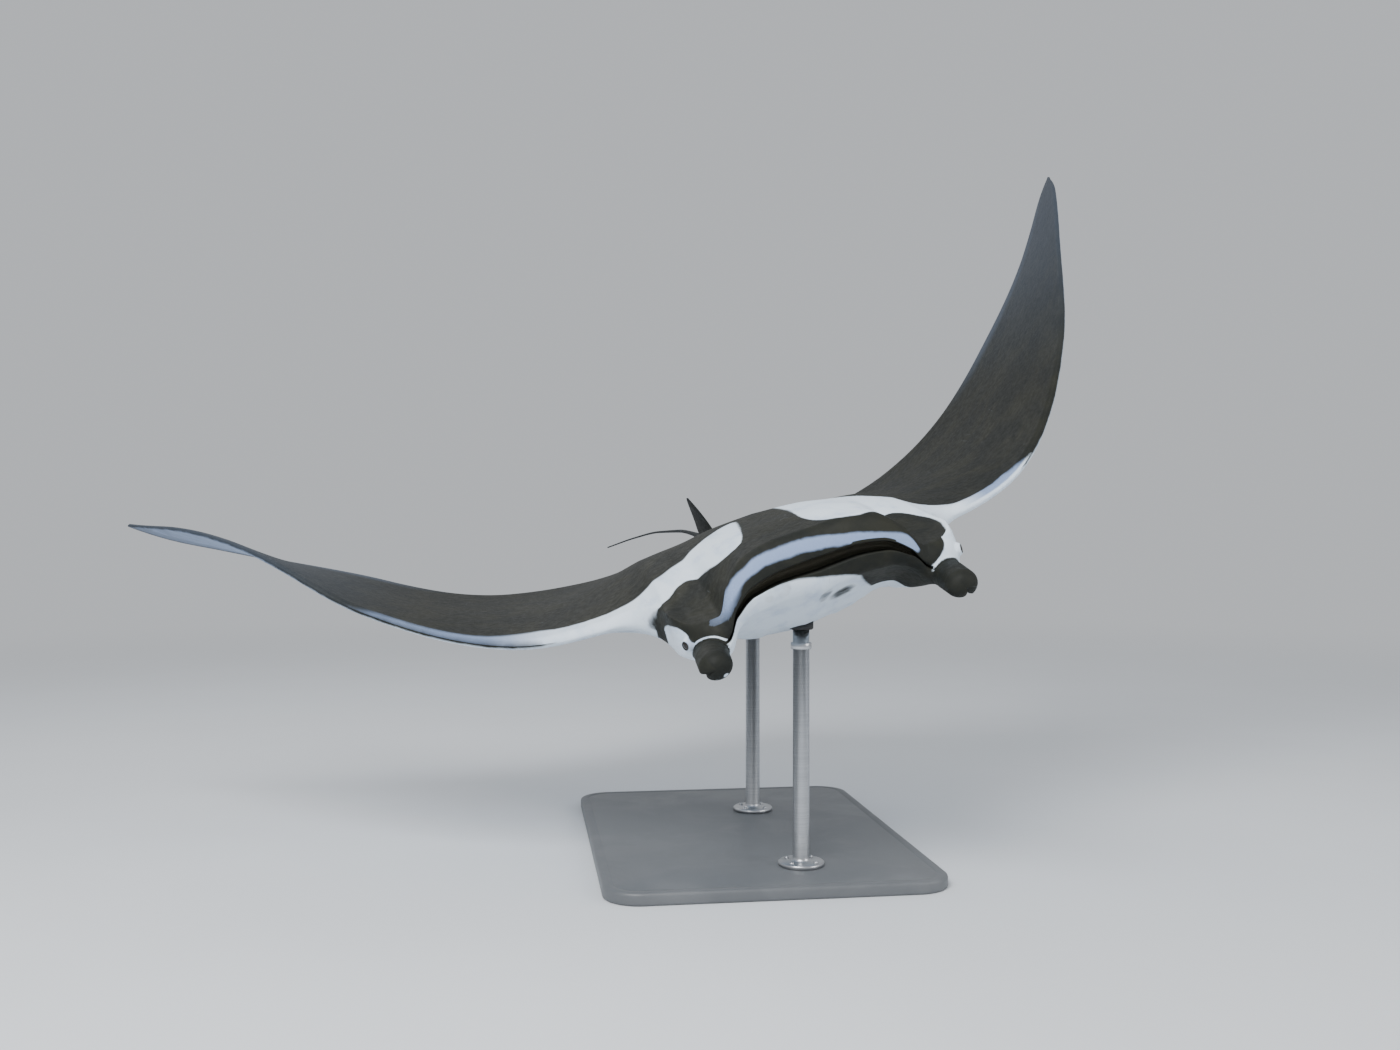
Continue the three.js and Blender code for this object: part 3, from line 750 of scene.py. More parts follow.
    def softness(self, s: Values, band: Array, crease: Array) -> Array:
        """How soft the edges are: crisp in front, softer behind the shoulder, along the wing and below."""
        out, z, foot = s["out"], s["z"], self.lip_ends[2]
        wing = 0.016 * smoothstep(out, 0.66, 1.0) * s["right"]
        upper = 0.0035 + wing + 0.004 * smoothstep(s["y"], 0.3, 0.4)
        lip = 0.0040 + 0.026 * smoothstep(z, foot + 0.075, foot) * s["right"]
        upper = np.where(crease > -0.003, 0.0012, np.where(band > -0.012, lip, upper))
        lower = 0.006 + 0.05 * smoothstep(s["inside"], 0.10, 0.0) * (s["part"] == Part.BELLY)
        return np.where(s["upper"], upper, lower)

    def tint(self, s: Values, band: Array, rest: Array) -> Array:
        """The blue-grey share: all of the lip band, some of the right cheek's rim, and painted shade on the
        outer wings.
        """
        u, part, out, right, upper = (s[key] for key in ("u", "part", "out", "right", "upper"))
        lip = np.where(upper, smoothstep(band - rest, -0.004, 0.004) * (u < 1.3), 0)
        bluish = ((part == Part.NOSE) | (part == Part.CHIN)) * (u > 1.2) * (u < 1.53) * right
        left = smoothstep(s["arc"], 0.004, 0.010) * smoothstep(out, 0.60, 0.74)
        # Painted shade: the pale strip along each outer wing's leading edge turns blue-grey.
        shade = np.where(u > 2.9, np.where(right, smoothstep(out, 0.72, 1.02), left), 0)
        tint = np.maximum(np.maximum(lip, 0.45 * bluish), shade * upper)
        # Painted shade: the underside turns blue-grey towards the wing tips.
        return np.where(part >= Part.CHIN, np.maximum(tint, 0.85 * smoothstep(out, 1.15, 1.95)), tint)

    def values(self, s: Values, body: Body) -> Values:
        """The skin's named values on a grid of sections of both sides.

        Args:
            s: the sections, with signed x and a sign array.
            body: the body's sizes.

        Returns:
            pale: depth inside pale skin; soft: how soft its edge is; tint: blue-grey share of the pale skin,
                on the outer wings painted shade; dusk: how far the dark skin is greyed; hollow: painted shade
                in a fold or the mouth, and past 1 the mouth's lining colour; flat: flat place.
            dusk: how far the dark skin is greyed; hollow: how dark a fold or the mouth is; flat: flat place.
        """
        x, y, z, u, angle, part = (s[key] for key in ("x", "y", "z", "u", "angle", "part"))
        out, right, radius = np.abs(x), s["sign"] < 0, 0.5 * (body.nose_up(u) + body.nose_low(u))
        # How far along the skin a point lies from the front rim, and how far before the dark rear margin.
        beyond_nose = np.where(part == Part.BACK, np.maximum(y - s["nose_y"], 0), 0)
        arc = np.abs(angle) * radius + beyond_nose
        rear = (1 - s["v"]) * s["chord"]
        inside = rear - (0.03 + 0.13 * smoothstep(out, 0.35, 1.2) - 0.12 * smoothstep(out, 1.5, 2.1))
        upper = (angle > 0) & (part <= Part.NOSE)
        s = s | {"out": out, "right": right, "radius": radius, "arc": arc, "inside": inside, "upper": upper}
        patch, band = self.shoulder(s, body), self.lip_band(s)
        low_front = (part >= Part.NOSE) & (part <= Part.CHIN)
        cheek = np.where(low_front, self.cheek(s["sign"], u, angle), OUTSIDE)
        crease = np.where(low_front & (part != Part.MOUTH), self.lobe_arc(x, y, z), OUTSIDE)
        marks = np.maximum(cheek, crease)
        above = np.maximum(np.maximum(patch, band), marks)
        pale = np.where(upper, above, self.underside(s, patch, marks))
        pale = np.where((part == Part.MOUTH) & (u < CHEEK) | (part == Part.REAR), OUTSIDE, pale)
        start = np.where(right, self.rim_from[Side.RIGHT], self.rim_from[Side.LEFT])
        line = smoothstep(out, start, start + self.rim_run) * (u > WING)
        rim = np.minimum(pale, pale * (1 - line) + line * (arc - self.rim_line))
        trail = smoothstep(rear, 0.11, 0.02) * smoothstep(out, 1.1, 1.5) * smoothstep(out, 2.25, 1.9)
        dusk = 0.75 * smoothstep(out, 1.15, 2.1) + 0.9 * trail * (part <= Part.NOSE)
        # Painted shade inside the mouth, fullest midway between the lips; above 1, towards the mouth's
        # middle, the lining colour shows.
        inner = smoothstep(np.sin(math.pi * s["share"]), 0.0, 0.5) * (u < CHEEK)
        return {
            "pale": np.where(line > 0, rim, pale),
            "soft": self.softness(s, band, crease),
            "tint": self.tint(s, band, np.maximum(patch, crease)),
            "dusk": np.clip(dusk, 0, 1),
            "hollow": np.where(part == Part.MOUTH, inner * (1 + smoothstep(u, 0.98, 0.80)), 0),
            "flat": np.stack([x, y, z], -1),
        }


@dataclass(frozen=True)
class Relief:
    """Folds and grooves on the body's skin, as heights in metres off the smooth form."""

    gill_y: Row = (0.35, 0.455, 0.555, 0.65, 0.74)
    gill_from: Row = (0.135, 0.125, 0.120, 0.120, 0.125)
    gill_to: Row = (0.40, 0.395, 0.375, 0.34, 0.29)
    gill_bow: float = 0.9
    gill_depth: float = 0.016
    gill_width: float = 0.0085
    flap_rise: float = 0.006
    flap_width: float = 0.020

    def gills(self, x: Array, y: Array) -> tuple[Array, Array]:
        """The height of five curved slits on each side, and how deep in one each point is, from 0 to 1.

        Each is a bell-shaped groove along a bowed line, with a soft flap before it; how deep in a groove a
        point lies sets its painted shade.
        """
        out = np.abs(x)
        height, inside = np.zeros_like(x), np.zeros_like(x)
        for back, start, end in zip(self.gill_y, self.gill_from, self.gill_to):
            middle = (start + end) / 2
            line = back + 0.35 * (out - start) * (end - start) - self.gill_bow * (out - middle) ** 2
            reach = smoothstep(out, start - 0.012, start + 0.02) * smoothstep(out, end + 0.012, end - 0.025)
            groove = bell(y - line, self.gill_width) * reach
            flap = bell(y - line + 1.3 * self.flap_width, self.flap_width) * reach
            height += self.flap_rise * flap - self.gill_depth * groove
            inside = np.maximum(inside, groove)
        return height, inside


# ---- skin -----------------------------------------------------------------------------------
@dataclass
class Skin:
    """One skin over all the flesh: body, wings, rolled cephalic fins, dorsal and pelvic fins, and tail."""

    body: Body = field(default_factory=Body)
    swim: Swim = field(default_factory=Swim)
    marks: Markings = field(default_factory=Markings)
    relief: Relief = field(default_factory=Relief)
    lobe_across: float = 0.045
    lobe_high: float = 0.040
    lobe_swell: float = 0.06
    lobe_nose: float = 0.042
    lobe_root: dict[Side, Triple] = sides((0.366, 0.050, -0.100), (-0.362, 0.050, -0.097))
    lobe_tip: dict[Side, Triple] = sides((0.350, -0.172, -0.132), (-0.384, -0.176, -0.117))
    roll_step: float = 0.10
    roll_groove: float = 0.19
    groove_width: float = 0.050
    seam_turn: dict[Side, float] = sides(-1.20, -2.80)
    root_dark: float = 0.0035
    root_deep: float = 0.0065
    # The white mark on each roll's tip: degrees round it and metres beyond the shaft.
    mark: dict[Side, tuple[float, float]] = sides((-30, 0.010), (-59, 0.026))
    mark_radius: float = 0.0062
    mark_scale: float = 0.030
    smooth_reach: float = 0.045
    smooth_passes: int = 24
    smooth_pull: float = 0.6
    block_size: int = 4000
    nodes: tuple[str, ...] = (
        "head", "trunk", "pectoral_fin_left_inner", "pectoral_fin_left_outer", "pectoral_fin_right_inner",
        "pectoral_fin_right_outer", "cephalic_fin_left", "cephalic_fin_right", "dorsal_fin",
        "pelvic_fin_left", "pelvic_fin_right", "tail_front", "tail_middle", "tail_tip",
    )

    def disc(self) -> Surface:
        """Body and wings as one closed grid: sections from the right tip to the left, with round ends."""
        body = self.body
        u = spaced(body.station_density, body.station_count)
        half = body.sections(u)
        lip = body.head_arch(half["x"]) * body.arch_fade(half["y"])
        half["lip_z"] = lip + body.nose_low(half["u"]) * np.sin(body.lip_low(half["u"]))
        both = {key: np.concatenate([value[:0:-1], value]) for key, value in half.items()}
        both["sign"] = np.concatenate([-np.ones_like(half["x"][1:]), np.ones_like(half["x"])])
        both["x"] = both["x"] * both["sign"]
        values = self.marks.values(both, body)
        height, inside = self.relief.gills(both["x"], both["y"])
        under = both["part"] == Part.BELLY
        both["z"] = both["z"] - height * under
        # Painted shade: the gill slits' grooves are darkened by how deep in one each point is.
        values["hollow"] = np.maximum(values["hollow"], inside * under)
        values["own"] = Own.BODY + np.zeros_like(both["x"])
        flat = np.stack([both["x"], both["y"], both["z"]], -1)
        right = self.swim.side(flat[: len(u) - 1], Side.RIGHT, body)
        left = self.swim.side(flat[len(u) - 1 :], Side.LEFT, body)
        rings = self.swim.placed(np.concatenate([right, left]))
        return tube(*self.with_tips(rings, values))

    @staticmethod
    def with_tips(rings: Array, values: Values) -> tuple[Array, Values]:
        """Adds rings that round off both ends of a stack of rings.

        Args:
            rings: points as (ring, place, 3).
            values: named values on them.

        Returns:
            The longer stack and its values: each added ring is the end ring drawn in by the cosine of its
            turn and moved out by its sine.
        """
        turns = np.radians([25, 50, 70, 84])[:, None, None]
        beyond, added = 0.006, len(turns)

        def cap(end: Array, before: Array) -> Array:
            """The rounded end beyond a ring."""
            middle = end.mean(0)
            outward = unit(middle - before.mean(0)) * beyond
            return middle + (end - middle) * np.cos(turns) + outward * np.sin(turns)

        start, end = cap(rings[0], rings[1])[::-1], cap(rings[-1], rings[-2])
        longer = {
            key: np.concatenate([np.repeat(value[:1], added, 0), value, np.repeat(value[-1:], added, 0)])
            for key, value in values.items()
        }
        return np.concatenate([start, rings, end]), longer

    @staticmethod
    def dark(flat: Array, own: Own = Own.BODY, **given: Array | float) -> Values:
        """The values of plain dark skin, apart from those that are given.

        Args:
            flat: the flat points, in the last axis.
            own: what the points belong to.
            **given: values that differ, as numbers or arrays.

        Returns:
            The named values at every point.
        """
        zeros = np.zeros(flat.shape[:-1])
        plain = {"pale": OUTSIDE, "soft": 0.004, "tint": 0.0, "dusk": 0.0, "hollow": 0.0, **given}
        return {key: value + zeros for key, value in plain.items()} | {"flat": flat, "own": own + zeros}

    def lobe(self, side: Side) -> Surface:
        """A furled cephalic fin: a blunt roll, with the step of the fin's free edge along it.

        The radius grows by the step once round the roll and dips in a groove beside it. Along the roll it
        swells towards the root, and beyond the tip it closes along a quarter ellipse.
        """
        root = self.swim.swum(np.array(self.lobe_root[side]), self.body)
        tip = self.swim.swum(np.array(self.lobe_tip[side]), self.body)
        length = np.linalg.norm(tip - root)
        ahead = (tip - root) / length
        across = unit(np.array([1.0, 0, 0]) - ahead * ahead[0])
        up = np.cross(ahead, across)
        shaft = np.linspace(0, 1, 46)
        nose = np.sin(np.linspace(0, math.pi / 2, 20))[1:-1]
        along = np.concatenate([shaft * length, length + self.lobe_nose * nose])
        draw = np.concatenate([1 + self.lobe_swell * (1 - shaft), np.sqrt(1 - nose**2)])
        turn = np.linspace(0, 1, 96, endpoint=False)
        roll = turn if side is Side.RIGHT else 1 - turn
        angle = self.seam_turn[side] + 2 * math.pi * turn
        groove = bell(roll, self.groove_width) + bell(1 - roll, self.groove_width / 3)
        grow = 1 + self.roll_step * (smoothstep(roll, 0, 0.06) + roll - 1) - self.roll_groove * groove
        radius = draw[:, None] * grow[None, :]
        places = (
            root
            + along[:, None, None] * ahead
            + (radius * np.cos(angle) * self.lobe_across)[..., None] * across
            + (radius * np.sin(angle) * self.lobe_high)[..., None] * up
        )
        pale = self.tip_mark(side, angle, along[:, None] - length)
        flat = [side.value * 0.37, 0.05 - along[:, None], 0.1 + 0.26 * roll]
        flat = np.stack([axis + np.zeros_like(pale) for axis in flat], -1)
        # The groove beside the step of the fin's edge is darkened with painted shade.
        values = self.dark(flat, Own.ROLL, pale=pale, soft=0.0014, hollow=0.5 * bell(roll, 0.03))
        return tube(self.swim.placed(places), values)

    def tip_mark(self, side: Side, angle: Array, beyond: Array) -> Array:
        """Depth inside the small white mark on a roll's blunt tip, and the fine line that runs into it."""
        mark_turn, mark_along = self.mark[side]
        away = (angle - math.radians(mark_turn) + math.pi) % (2 * math.pi) - math.pi
        beside = beyond - mark_along
        mark = self.mark_radius - np.hypot(away * self.mark_scale, beside)
        before = smoothstep(away, -0.95, -0.75) * smoothstep(away, 0.02, -0.05)
        return np.maximum(mark, np.minimum(0.0010 - np.abs(beside + 0.002), (before - 0.5) * 0.02))

    def blade(self, heights: Array, chord_at: Callable, thick_at: Callable, place: Callable) -> Surface:
        """A fin of pointed-oval slices stacked from root to tip.

        Each slice's half thickness along its chord v is 0.6 mm plus 0.95 * thickness * sqrt(v) * (1 - v).

        Args:
            heights: the slices, from 0 at the root to 1 at the tip.
            chord_at: gives front and rear of the slice.
            thick_at: gives its thickness.
            place: gives the flat point of (along, through, height).

        Returns:
            The closed fin.
        """
        v = 1 - np.linspace(0, 1, 22) ** 1.6
        h = heights[:, None]
        front, rear = chord_at(h)
        along = front + (rear - front) * v
        through = 0.0006 + 0.95 * thick_at(h) * np.sqrt(v) * (1 - v)
        s = np.concatenate([along, along[:, ::-1]], 1)
        t = np.concatenate([through, -through[:, ::-1]], 1)
        flat = place(s, t, h + 0 * s)
        return tube(self.swim.row(flat, self.body), self.dark(flat, dusk=0.15 * h))

    def dorsal_fin(self) -> Surface:
        """The small swept dorsal fin at the root of the tail."""
        front, chord, tip_chord, height = 1.850, 0.228, 0.014, 0.185
        sweep, thick, z, lean, yaw = 0.178, 0.026, 0.036, -0.020, 0.17

        def chord_at(h: Array) -> tuple[Array, Array]:
            """Front and rear of the slice at height h."""
            start = front + sweep * h**1.1
            return start, start + chord * (1 - h) ** 0.8 + tip_chord

        def place(s: Array, t: Array, h: Array) -> Array:
            """The flat point of a slice's point, leaning towards the tip and turned a little sideways."""
            aside = yaw * (s - front - chord / 2)
            return np.stack([t + lean * h * h - aside, s, z + height * h], -1)

        return self.blade(1 - np.linspace(1, 0, 26) ** 1.5, chord_at, lambda h: thick * (1 - 0.7 * h), place)

    def pelvic_fin(self, side: Side) -> Surface:
        """A small rounded pelvic fin beside the root of the tail."""
        x, y, chord, width, sweep, thick, z = 0.046, 1.965, 0.132, 0.092, 0.066, 0.016, -0.006

        def chord_at(h: Array) -> tuple[Array, Array]:
            """Front and rear of the slice at height h."""
            return y + sweep * h, y + chord * (1 + 0.25 * np.sin(math.pi * h)) - 0.020 * h * h

        def place(s: Array, t: Array, h: Array) -> Array:
            """The flat point of a slice's point."""
            return np.stack([side.value * (x + width * h), s, z + t], -1)

        return self.blade(np.linspace(0, 1, 16), chord_at, lambda h: thick * (1 - 0.6 * h), place)

    def tail(self) -> Surface:
        """The thin tail: circles along a line through six points, thicker just behind the dorsal fin."""
        way = np.array(
            [
                (0, 2.025, 0.016), (-0.014, 2.22, 0.036), (-0.052, 2.5, 0.056),
                (-0.112, 2.85, 0.056), (-0.208, 3.22, 0.038), (-0.335, 3.56, 0.008),
            ]
        )
        gone = np.concatenate([[0], np.cumsum(np.linalg.norm(np.diff(way, axis=0), axis=1))])
        gone = tuple(gone / gone[-1])
        line = [Curve(gone, tuple(way[:, k])) for k in range(3)]
        radius = Curve((0, 0.05, 0.12, 0.2, 0.35, 0.6, 1), (0.024, 0.017, 0.012, 0.009, 0.007, 0.005, 0.0035))
        t = np.linspace(0, 1, 130)
        middle = np.stack([axis(t) for axis in line], -1)
        along = unit(np.gradient(middle, axis=0))
        across = unit(np.cross([0.0, 0, 1], along))
        up = np.cross(along, across)
        turn = circle(20)[:, None]
        around = np.cos(turn) * across[:, None] + np.sin(turn) * up[:, None]
        flat = middle[:, None] + radius(t)[:, None, None] * around
        return tube(*self.with_tips(self.swim.row(flat, self.body), self.dark(flat, dusk=0.2)))

    def fill_new_points(self, mesh: Mesh) -> tuple[Array, Array]:
        """Gives points that a join made the mean of their neighbours' values.

        Args:
            mesh: the joined mesh.

        Returns:
            A mask of the points that were new, and one of those round a cephalic fin's root.
        """
        count, edges, known = len(mesh.vertices), edges_of(mesh), read_values(mesh, "own")
        new = known < Own.BODY - 0.5
        ends = ((0, 1), (1, 0))
        beside = np.zeros(count, bool)
        for a, b in ends:
            beside[edges[known[edges[:, b]] > Own.ROLL - 0.5, a]] = True
        for key in ("pale", "soft", "tint", "dusk", "hollow", "flat"):
            value = read_values(mesh, key)
            rows = value.reshape(count, -1)
            has = ~new
            for _ in range(4):
                total, weight = np.zeros(rows.shape), np.zeros(count)
                for a, b in ends:
                    ok = has[edges[:, b]]
                    np.add.at(total, edges[ok, a], rows[edges[ok, b]])
                    np.add.at(weight, edges[ok, a], 1)
                fresh = ~has & (weight > 0)
                rows[fresh] = total[fresh] / weight[fresh, None]
                has = has | fresh
            write_values(mesh, key, value)
        write_values(mesh, "own", np.where(known > Own.ROLL - 0.5, Own.ROLL, Own.BODY))
        return new, new & beside

    def nearest(self, points: Array, close: Array, targets: Array) -> Array:
        """Distance from each close point to the nearest target, found in blocks; 1 m for the others."""
        gaps = np.full(len(points), 1.0)
        for block in np.array_split(close, max(1, len(close) // self.block_size)):
            away = points[block][:, None, :] - targets[None, :, :]
            gaps[block] = np.sqrt((away**2).sum(-1).min(1))
        return gaps

    def soften(self, mesh: Mesh, seam: Array, roots: Array) -> None:
        """Rounds the crease where parts meet: points near it are drawn repeatedly to their neighbours' mean.

        Round the cephalic fins the depth inside pale skin is at most the distance from the crease less a
        margin.

        Args:
            mesh: the joined mesh.
            seam: mask of the points on the crease.
            roots: mask of those round the cephalic fins.
        """
        points, edges, reach = points_of(mesh), edges_of(mesh), self.smooth_reach
        crease = points[seam]
        low, high = crease.min(0) - reach, crease.max(0) + reach
        close = np.flatnonzero(((points > low) & (points < high)).all(1))
        weight = self.smooth_pull * smoothstep(self.nearest(points, close, crease), reach, 0)
        moving = weight > 0
        used = edges[moving[edges].any(1)]
        degree = np.zeros(len(points))
        np.add.at(degree, used.ravel(), 1)
        degree = np.maximum(degree, 1)
        for _ in range(self.smooth_passes):
            total = np.zeros_like(points)
            np.add.at(total, used[:, 0], points[used[:, 1]])
            np.add.at(total, used[:, 1], points[used[:, 0]])
            pull = total / degree[:, None] - points
            points = points + np.where(moving, weight, 0)[:, None] * pull
        mesh.vertices.foreach_set("co", points.astype(np.float32).ravel())
        # The dark begins at one even distance from the crease.
        gap = self.nearest(points, close, points[roots])
        for _ in range(self.smooth_passes // 6):
            total = np.bincount(used[:, 0], gap[used[:, 1]], len(points))
            total += np.bincount(used[:, 1], gap[used[:, 0]], len(points))
            gap = np.where(moving & (gap < reach / 2), 0.5 * (gap + total / degree), gap)
        pale = read_values(mesh, "pale")
        dark = roots | (read_values(mesh, "own") > Own.ROLL - 0.5)
        edge = np.where(dark, -gap - self.root_deep, gap - self.root_dark)
        pale = np.where(gap < reach / 2, np.where(dark, edge, np.minimum(pale, edge)), pale)
        write_values(mesh, "pale", pale)

    def build(self, eyes: Eyes) -> Piece:
        """Joins every part of flesh into one closed skin and opens it over the eyes.

        Args:
            eyes: the eyes, which give the lids and the sockets.

        Returns:
            The skin, riding on the root body.
        """
        disc = self.disc()
        skin = disc.to_object("ray_skin")
        parts = [self.lobe(side) for side in Side]
        parts += [self.dorsal_fin(), self.tail(), *(self.pelvic_fin(side) for side in Side)]
        parts += [eyes.lid(side, disc) for side in Side]
        tools = [part.to_object(f"part_{k}") for k, part in enumerate(parts)]
        combine(skin, tools, Join.UNITE)
        seam, roots = self.fill_new_points(skin.data)
        self.soften(skin.data, seam, roots)
        combine(skin, [eyes.socket(side).to_object("socket") for side in Side], Join.CUT)
        self.fill_new_points(skin.data)
        skin.data.attributes.remove(skin.data.attributes["own"])
        skin.data.materials.clear()
        skin.data.materials.append(RaySkin().material())
        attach(skin, "root")
        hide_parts(*self.nodes)
        return skin


# ---- eyes -----------------------------------------------------------------------------------
@dataclass
class Eyes:
    """The two eyeballs, their sockets and the lids round them."""

    skin: Skin
    radius: float = 0.020
    sink: float = 0.006
    rise: float = 0.010
    station: float = 1.57
    gap: float = 0.0003
    # The lid's profile: distance from the eye's axis, and height along it over the rim.
    lid_out: Row = (
        0.0112, 0.0112, 0.0118, 0.0132, 0.0152, 0.0175, 0.0198, 0.0222, 0.0242, 0.0255,
    )
    lid_high: Row = (
        -0.010, 0.0108, 0.0117, 0.0120, 0.0110, 0.0086, 0.0052, 0.0010, -0.0040, -0.010,
    )
    lid_stretch: float = 1.10
    lid_dark: float = 0.0142
    copy_reach: float = 0.10
    copy_count: int = 8
    copy_blur: float = 0.004

    def place(self, side: Side) -> tuple[Array, Array]:
        """Centre of the eyeball and the way it looks, in the row frame, from the rim at the eye's station."""
        body, swim = self.skin.body, self.skin.swim
        u = np.array([self.station - 0.05, self.station, self.station + 0.05])
        x, y = body.front_rim(u)
        outward = unit(np.array([y[2] - y[0], x[0] - x[2]]))
        z = float(body.head_arch(x[1]) * body.arch_fade(y[1])) + self.rise
        flat = np.array([[x[1], y[1], z], [x[1], y[1], z]])
        flat[:, :2] -= np.array([[self.sink], [self.sink - 0.01]]) * outward
        flat[:, 0] *= side.value
        start, ahead = swim.placed(swim.side(flat, side, body))
        return start, unit(ahead - start)

    def turned(self, side: Side, out: Array, high: Array, around: int, stretch: float) -> Array:
        """Rings about the eye's axis: radius out, height high, longer fore and aft by stretch."""
        centre, gaze = self.place(side)
        along = unit(np.array([0.0, 1, 0]) - gaze * gaze[1])
        up = np.cross(gaze, along)
        turn = circle(around)
        ring = np.cos(turn)[:, None] * along * stretch + np.sin(turn)[:, None] * up
        return centre + np.asarray(high)[:, None, None] * gaze + np.asarray(out)[:, None, None] * ring[None]

    def ball(self, side: Side, radius: float, rows: int, around: int) -> Surface:
        """A ball of circles from one pole to the other, with each point's angle off the gaze in degrees."""
        polar = np.linspace(0, math.pi, rows + 2)[1:-1]
        rings = self.turned(side, radius * np.sin(polar), radius * np.cos(polar), around, 1.0)
        turn = circle(around)
        off = np.degrees(polar)[:, None] + 0 * turn
        gaze = np.stack([off * np.cos(turn), off * np.sin(turn), 0 * off], -1)
        return tube(rings, {"gaze": gaze})

    def socket(self, side: Side) -> Surface:
        """The space that the eyeball needs."""
        polar = np.linspace(0, math.pi, 48)[1:-1]
        radius = self.radius + self.gap
        return tube(self.turned(side, radius * np.sin(polar), radius * np.cos(polar), 64, 1.0))

    def lid(self, side: Side, disc: Surface) -> Surface:
        """A low ring of skin round the eye, turned from a profile and a little longer fore and aft.

        Args:
            side: left or right.
            disc: the body's skin, whose nearest points give the ring its values; only its inner rim is dark.

        Returns:
            The closed ring.
        """
        knots = np.arange(len(self.lid_out))
        fine = np.linspace(0, knots[-1], 40)
        out = np.interp(fine, knots, self.lid_out)
        high = np.interp(fine, knots, self.lid_high) + self.sink
        rings = self.turned(side, out, high, 72, self.lid_stretch)
        centre = self.place(side)[0]
        close = np.flatnonzero(((disc.points - centre) ** 2).sum(-1) < self.copy_reach**2)
        gaps = ((rings.reshape(-1, 1, 3) - disc.points[close]) ** 2).sum(-1)
        nearest = np.argpartition(gaps, self.copy_count, axis=1)[:, : self.copy_count]
        share = 1 / (np.take_along_axis(gaps, nearest, 1) + self.copy_blur**2)
        share /= share.sum(1, keepdims=True)
        values = {}
        for key, value in disc.values.items():
            near = value[close[nearest]]
            mean = (near * share.reshape(share.shape + (1,) * (near.ndim - 2))).sum(1)
            values[key] = mean.reshape(rings.shape[:2] + value.shape[1:])
        values["pale"] = np.minimum(values["pale"], (out - self.lid_dark)[:, None])
        values["soft"] = np.minimum(values["soft"], 0.002)
        return tube(rings, values)

    def build(self) -> list[Piece]:
        """Makes both eyeballs, each standing for its solid."""
        made = []
        for side in Side:
            name = side.name.lower()
            eye = self.ball(side, self.radius, 60, 96).to_object(f"ray_eye_{name}")
            eye.data.materials.append(RayEye().material())
            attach(eye, "root")
            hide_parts(f"eye_{name}")
            made.append(eye)
        return made


# ---- finishes -------------------------------------------------------------------------------
class Nodes:
    """A short way to wire a material's nodes."""

    def __init__(self, name: str) -> None:
        """Starts a material of the given name with one principled shader."""
        self.material = bpy.data.materials.new(name)
        self.material.use_nodes = True
        self.tree = self.material.node_tree
        self.shader = self.tree.nodes["Principled BSDF"]

    def put(self, target: Socket, value: object) -> None:
        """Links a socket to the target, or sets the target's own value."""
        if isinstance(value, Socket):
            self.tree.links.new(value, target)
        elif isinstance(value, tuple) and len(value) == 3 and target.type == "RGBA":
            target.default_value = (*value, 1)
        else:
            target.default_value = value

    def add(self, kind: str, values: dict[str | int, object], **settings: str) -> bpy.types.Node:
        """Adds a node, makes its settings and fills its inputs.

        Args:
            kind: the node's type, without the word ShaderNode.
            values: sockets or constants by input name or number.
            **settings: the node's own choices.

        Returns:
            The node.
        """
        node = self.tree.nodes.new(f"ShaderNode{kind}")
        for name, choice in settings.items():
            setattr(node, name, choice)
        for key, value in values.items():
            self.put(node.inputs[key], value)
        return node

    def attribute(self, name: str, output: str = "Fac") -> Socket:
        """A point attribute as a number, or as a vector."""
        return self.add("Attribute", {}, attribute_name=name).outputs[output]

    def place(self) -> Socket:
        """Each point's place on its object."""
        return self.add("TexCoord", {}).outputs["Object"]

    def split(self, vector: Socket) -> list[Socket]:
        """A vector's three numbers."""
        return list(self.add("SeparateXYZ", {0: vector}).outputs)

    def maths(self, kind: str, *values: object) -> Socket:
        """One sum of up to three numbers."""
        return self.add("Math", dict(enumerate(values)), operation=kind).outputs[0]

    def between(
        self, value: object, low: object, high: object, start: float = 0.0, end: float = 1.0
    ) -> Socket:
        """A smooth step from start to end, while value goes from low to high."""
        inputs = dict(enumerate((value, low, high, start, end)))
        return self.add("MapRange", inputs, interpolation_type="SMOOTHSTEP").outputs[0]

    def mix(self, share: object, a: object, b: object) -> Socket:
        """A mix of two colours."""
        node = self.add("Mix", {0: share}, data_type="RGBA")
        for target, colour in zip([s for s in node.inputs if s.type == "RGBA"], (a, b)):
            self.put(target, colour)
        return next(s for s in node.outputs if s.type == "RGBA")

    def scaled(self, vector: Socket, scale: Triple) -> Socket:
        """A vector stretched along its axes."""
        return self.add("Mapping", {"Vector": vector, "Scale": scale}).outputs[0]

    def noise(
        self, vector: Socket, scale: float, detail: float = 3.0, rough: float = 0.55, bend: float = 0.0
    ) -> Socket:
        """Smooth noise between 0 and 1."""
        inputs = {"Vector": vector, "Scale": scale, "Detail": detail, "Roughness": rough, "Distortion": bend}
        return self.add("TexNoise", inputs).outputs["Fac"]

    def cells(self, vector: Socket, scale: float, feature: str = "F1") -> Socket:
        """Distance inside a pattern of cells."""
        inputs = {"Vector": vector, "Scale": scale}
        return self.add("TexVoronoi", inputs, feature=feature).outputs["Distance"]

    def bump(self, height: Socket, distance: float, strength: float, under: Socket | None = None) -> Socket:
        """A bump of the given height in metres, over another one if it is given."""
        inputs = {"Distance": distance, "Strength": strength, "Height": height}
        return self.add("Bump", inputs | ({"Normal": under} if under else {})).outputs[0]

    def finish(self, colour: object, roughness: object, **others: object) -> Material:
        """Wires colour, roughness and other inputs into the shader, and gives the material.

        Args:
            colour: the base colour.
            roughness: the roughness.
            **others: more inputs of the shader, with _ for each space in their names.

        Returns:
            The finished material.
        """
        named = {"Base Color": colour, "Roughness": roughness}
        named |= {key.replace("_", " "): value for key, value in others.items()}
        for key, value in named.items():
            self.put(self.shader.inputs[key], value)
        return self.material


